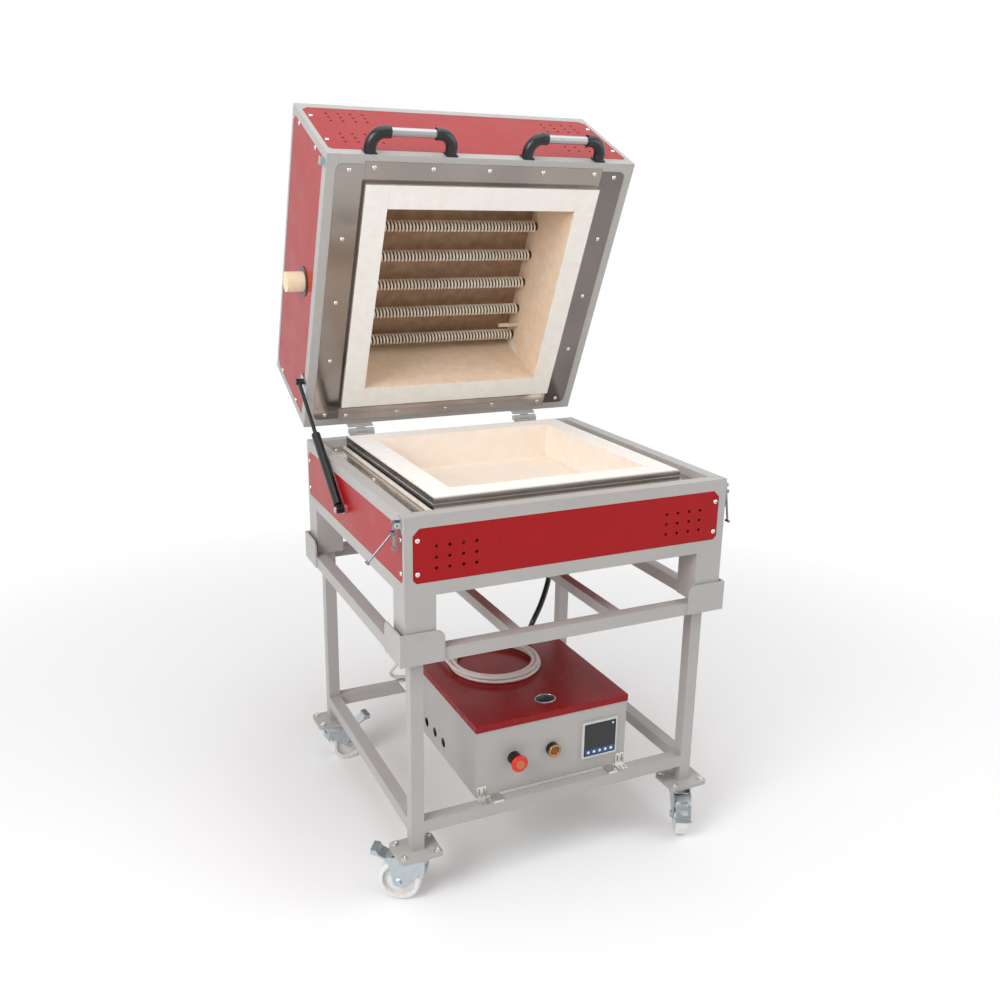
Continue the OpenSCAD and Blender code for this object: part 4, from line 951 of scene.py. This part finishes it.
def make_buttons():
    """Mushroom head with its stem, and the framed start button."""
    out = (0, -1, 0)
    stop_spot = (STOP_X, BOX_FRONT, BUTTON_Z)
    start_spot = (START_X, BOX_FRONT, BUTTON_Z)
    bm = bmesh.new()
    add_lathe(bm, STOP_HEAD, stop_spot, out, 40)
    mesh = to_mesh("stop_mushroom", bm)
    piece = add_piece("stop_mushroom", mesh, STOP_RED, "emergency_stop_button")
    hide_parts("emergency_stop_button")
    bm = bmesh.new()
    add_lathe(bm, STOP_DISC, stop_spot, out, 32)
    mesh = to_mesh("stop_centre", bm)
    piece = add_piece("stop_centre", mesh, STOP_CENTRE, "emergency_stop_button")
    bm = bmesh.new()
    add_lathe(bm, START_CAP, start_spot, out, 32)
    piece = add_piece("start_cap", to_mesh("start_cap", bm), LAMP_LENS, "start_button")
    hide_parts("start_button")
    bm = bmesh.new()
    add_lathe(bm, START_RING, start_spot, out, 40)
    piece = add_piece("start_ring", to_mesh("start_ring", bm), LAMP_RING, "frame")


PAD = ((88, -17.5, 113), (103.6, 17.5, 126.8))
PAD_BEVEL = 1.5
PAD_RIB = ((90, -17, 126.4), (91.2, 17, 127.6))
PAD_RIB_BEVEL = 0.3
PAD_RIB_COUNT = 6
PAD_RIB_PITCH = 2.3


def make_pedal_pads():
    """Ribbed rubber over the end of each brake pedal."""
    casters = (("front_left", -1, -1, FRONT_LEFT_TURN), ("back_left", -1, 1, BACK_LEFT_TURN))
    for name, sx, sy, angle in casters:
        bm = bmesh.new()
        block_at(bm, (0, 0, 0), PAD, PAD_BEVEL)
        for k in range(PAD_RIB_COUNT):
            block_at(bm, (PAD_RIB_PITCH * k, 0, 0), PAD_RIB, PAD_RIB_BEVEL)
        place = caster_place(sx, sy, angle)
        mesh = to_mesh("pedal_pad_" + name, bm)
        piece = add_piece("pedal_pad_" + name, mesh, PEDAL_GREY, "brake_pedal_" + name, place)


# Second finishes on some faces of a solid

INTO_LID = LID_MATRIX.inverted()
CHAMBER_REACH = (CHAMBER_W / 2 + 1) * MM
BLOCK_REACH = (BLOCK_HALF_X + 1) * MM
RIM_RISE = 14 * MM
RING_RISE = 2 * MM
DECK_TOP = (RING_Z - 18) * MM
LEFT_FACING = -0.5
VENT_X = -(BODY_W / 2 - 8) * MM
VENT_REACH = 40 * MM
VENT_UP = 60 * MM
HINGE_REACH = 300 * MM


def within(p, reach):
    """Whether a point is nearer than a reach to the middle, along X and along Y."""
    return abs(p.x) < reach and abs(p.y) < reach


def colour_chamber():
    """Fired fibre on the faces inside the chamber."""

    def inside_lid(centre, normal):
        p = INTO_LID @ centre
        return within(p, CHAMBER_REACH) and p.z > -RIM_RISE

    def inside_base(centre, normal):
        p = centre - KILN_MIDDLE
        return within(p, CHAMBER_REACH) and p.z < RING_Z * MM + RIM_RISE

    paint_faces(NODES["lid_wall_boards"], FIBRE_LID, inside_lid)
    paint_faces(NODES["base_wall_boards"], FIBRE_HOT, inside_base)


def colour_ring_plates():
    """Painted shade on the ring plate at the right, painted light on the one at the hinges, and
    painted shade on the band that faces left.
    """

    def right_ring(centre, normal):
        p = INTO_LID @ centre
        return p.x > BLOCK_REACH and p.z < RING_RISE

    def hinge_ring(centre, normal):
        p = INTO_LID @ centre
        return p.y > BLOCK_REACH and abs(p.x) < BLOCK_REACH and p.z < RING_RISE

    def left_band_painted_shade(centre, normal):
        p = INTO_LID @ centre
        return within(p, BLOCK_REACH) and p.z < -RING_RISE and normal.x < LEFT_FACING

    # Painted shade on the right plate, painted light on the plate at the hinges, painted shade on
    # the band that faces left.
    paint_faces(NODES["lid_ring_plates"], SHADED_STEEL, right_ring)
    paint_faces(NODES["lid_ring_plates"], STEEL_PAINTED_LIGHT, hinge_ring)
    paint_faces(NODES["lid_ring_plates"], TRIM_PAINTED_SHADE, left_band_painted_shade)


def colour_deck_bands():
    """Bands round the lower block, with painted shade on the faces that face left."""

    def band(centre, normal):
        return within(centre - KILN_MIDDLE, BLOCK_REACH) and centre.z > DECK_TOP

    def left_band_painted_shade(centre, normal):
        return band(centre, normal) and normal.x < LEFT_FACING

    paint_faces(NODES["base_deck_plates"], FRONT_TRIM, band)
    # Painted shade on the band faces that face left.
    paint_faces(NODES["base_deck_plates"], TRIM_PAINTED_SHADE, left_band_painted_shade)


def colour_fittings():
    """Black ring round the vent plug as painted shade of the opening there, and painted hinges."""

    def vent_opening_shade(centre, normal):
        p = INTO_LID @ centre
        return p.x < VENT_X and abs(p.y) < VENT_REACH and p.z > VENT_UP

    def hinge_part(centre, normal):
        return abs(centre.x - KILN_MIDDLE.x) < HINGE_REACH

    # Painted shade: the ring round the vent plug is made black for the shade in the opening round
    # the plug.
    paint_faces(NODES["lid_fittings"], BLACK_ENAMEL, vent_opening_shade)
    paint_faces(NODES["lid_fittings"], FRAME_PAINT, hinge_part)
    paint_faces(NODES["base_fittings"], FRAME_PAINT, hinge_part)


# Light and floor


def background_rays(tree):
    """1 for the rays that see the background: camera, mirror and glass."""
    path = tree.nodes.new("ShaderNodeLightPath")
    total = path.outputs["Is Camera Ray"]
    for name in ("Is Glossy Ray", "Is Transmission Ray"):
        larger = add_node(tree, "ShaderNodeMath", operation="MAXIMUM")
        tree.links.new(total, larger.inputs[0])
        tree.links.new(path.outputs[name], larger.inputs[1])
        total = larger.outputs[0]
    return total


WORLD_STRENGTH = 0.62
WORLD_LOW = 0.75
WORLD_HIGH = 1.0
WORLD_BANDS = ((0.46, 0.62), (0.52, 0.22), (0.6, 0.5))
LAMPS = (
    ("key", (-2700, -1300, 2400), 1.8, 68),
    ("fill", (2600, -1800, 1700), 2.2, 27),
    ("top", (200, -300, 3300), 2.6, 30),
)
LAMP_AIM = (0, 0, 800)


def grey(value):
    return (value, value, value, 1)


def make_world():
    """Grey studio light with a dimmer belt near the horizon, seen as plain white."""
    world = bpy.data.worlds.new("studio")
    bpy.context.scene.world = world
    world.use_nodes = True
    tree = world.node_tree
    lit = tree.nodes["Background"]
    lit.inputs["Strength"].default_value = WORLD_STRENGTH
    seen = add_node(tree, "ShaderNodeBackground", Color=grey(1), Strength=1.0)
    coords = add_node(tree, "ShaderNodeTexCoord")
    split = add_node(tree, "ShaderNodeSeparateXYZ")
    tree.links.new(coords.outputs["Generated"], split.inputs["Vector"])
    height = add_node(tree, "ShaderNodeMapRange", **{"From Min": -1, "From Max": 1})
    tree.links.new(split.outputs["Z"], height.inputs["Value"])
    ramp = add_node(tree, "ShaderNodeValToRGB")
    tree.links.new(height.outputs["Result"], ramp.inputs["Fac"])
    ramp.color_ramp.elements[0].color = grey(WORLD_LOW)
    ramp.color_ramp.elements[1].color = grey(WORLD_HIGH)
    for position, value in WORLD_BANDS:
        ramp.color_ramp.elements.new(position).color = grey(value)
    tree.links.new(ramp.outputs["Color"], lit.inputs["Color"])
    mix = add_node(tree, "ShaderNodeMixShader")
    tree.links.new(background_rays(tree), mix.inputs["Fac"])
    tree.links.new(lit.outputs["Background"], mix.inputs[1])
    tree.links.new(seen.outputs["Background"], mix.inputs[2])
    tree.links.new(mix.outputs["Shader"], tree.nodes["World Output"].inputs["Surface"])


def make_lamps():
    for name, spot, size, power in LAMPS:
        lamp = bpy.data.lights.new(name, "AREA")
        lamp.size = size
        lamp.energy = power
        obj = bpy.data.objects.new(name, lamp)
        bpy.context.collection.objects.link(obj)
        obj.location = kiln(*spot)
        aim = kiln(*LAMP_AIM) - obj.location
        obj.rotation_euler = aim.to_track_quat("-Z", "Y").to_euler()


FLOOR_REACH = 12
FLOOR_DROP = 0.0005
FLOOR_PLAIN = 0.55
FLOOR_WHITE = 2.4


def pale_floor():
    """Matt white floor that fades into the white background away from the kiln."""
    f = Finish("pale_floor", "#fbfbfb", 0.9)
    f.set("Specular IOR Level", 0.1)
    f.mottle(f.noise(400), 0.995, 1.0)
    coords = f.add("ShaderNodeTexCoord")
    distance = f.add("ShaderNodeVectorMath", operation="LENGTH")
    f.link(coords.outputs["Object"], distance.inputs[0])
    fade = f.spread(distance.outputs["Value"], 0.0, 1.0, FLOOR_PLAIN, FLOOR_WHITE)
    seen = f.add("ShaderNodeMath", operation="MULTIPLY")
    f.link(fade, seen.inputs[0])
    f.link(background_rays(f.tree), seen.inputs[1])
    white = f.add("ShaderNodeEmission", Color=grey(1), Strength=1.0)
    mix = f.add("ShaderNodeMixShader")
    f.link(seen.outputs[0], mix.inputs["Fac"])
    f.link(f.shader.outputs[0], mix.inputs[1])
    f.link(white.outputs[0], mix.inputs[2])
    f.link(mix.outputs[0], f.tree.nodes["Material Output"].inputs["Surface"])
    return f.material


def make_floor():
    bm = bmesh.new()
    bmesh.ops.create_grid(bm, x_segments=1, y_segments=1, size=FLOOR_REACH)
    mesh = bpy.data.meshes.new("floor")
    bm.to_mesh(mesh)
    bm.free()
    floor = bpy.data.objects.new("floor", mesh)
    floor.location.z = -FLOOR_DROP
    bpy.context.collection.objects.link(floor)
    mesh.materials.append(pale_floor())


make_camera()
make_conduit()
make_mains_cord()
finish_nodes()
make_windings()
make_frame_screws()
make_lid_screws()
make_gasket()
make_welds()
make_fork_guard()
make_corner_caps()
make_trim_edges()
make_badge()
make_controller()
make_buttons()
make_pedal_pads()
colour_chamber()
colour_ring_plates()
colour_deck_bands()
colour_fittings()
bpy.context.scene.view_settings.view_transform = "Standard"
make_world()
make_lamps()
make_floor()
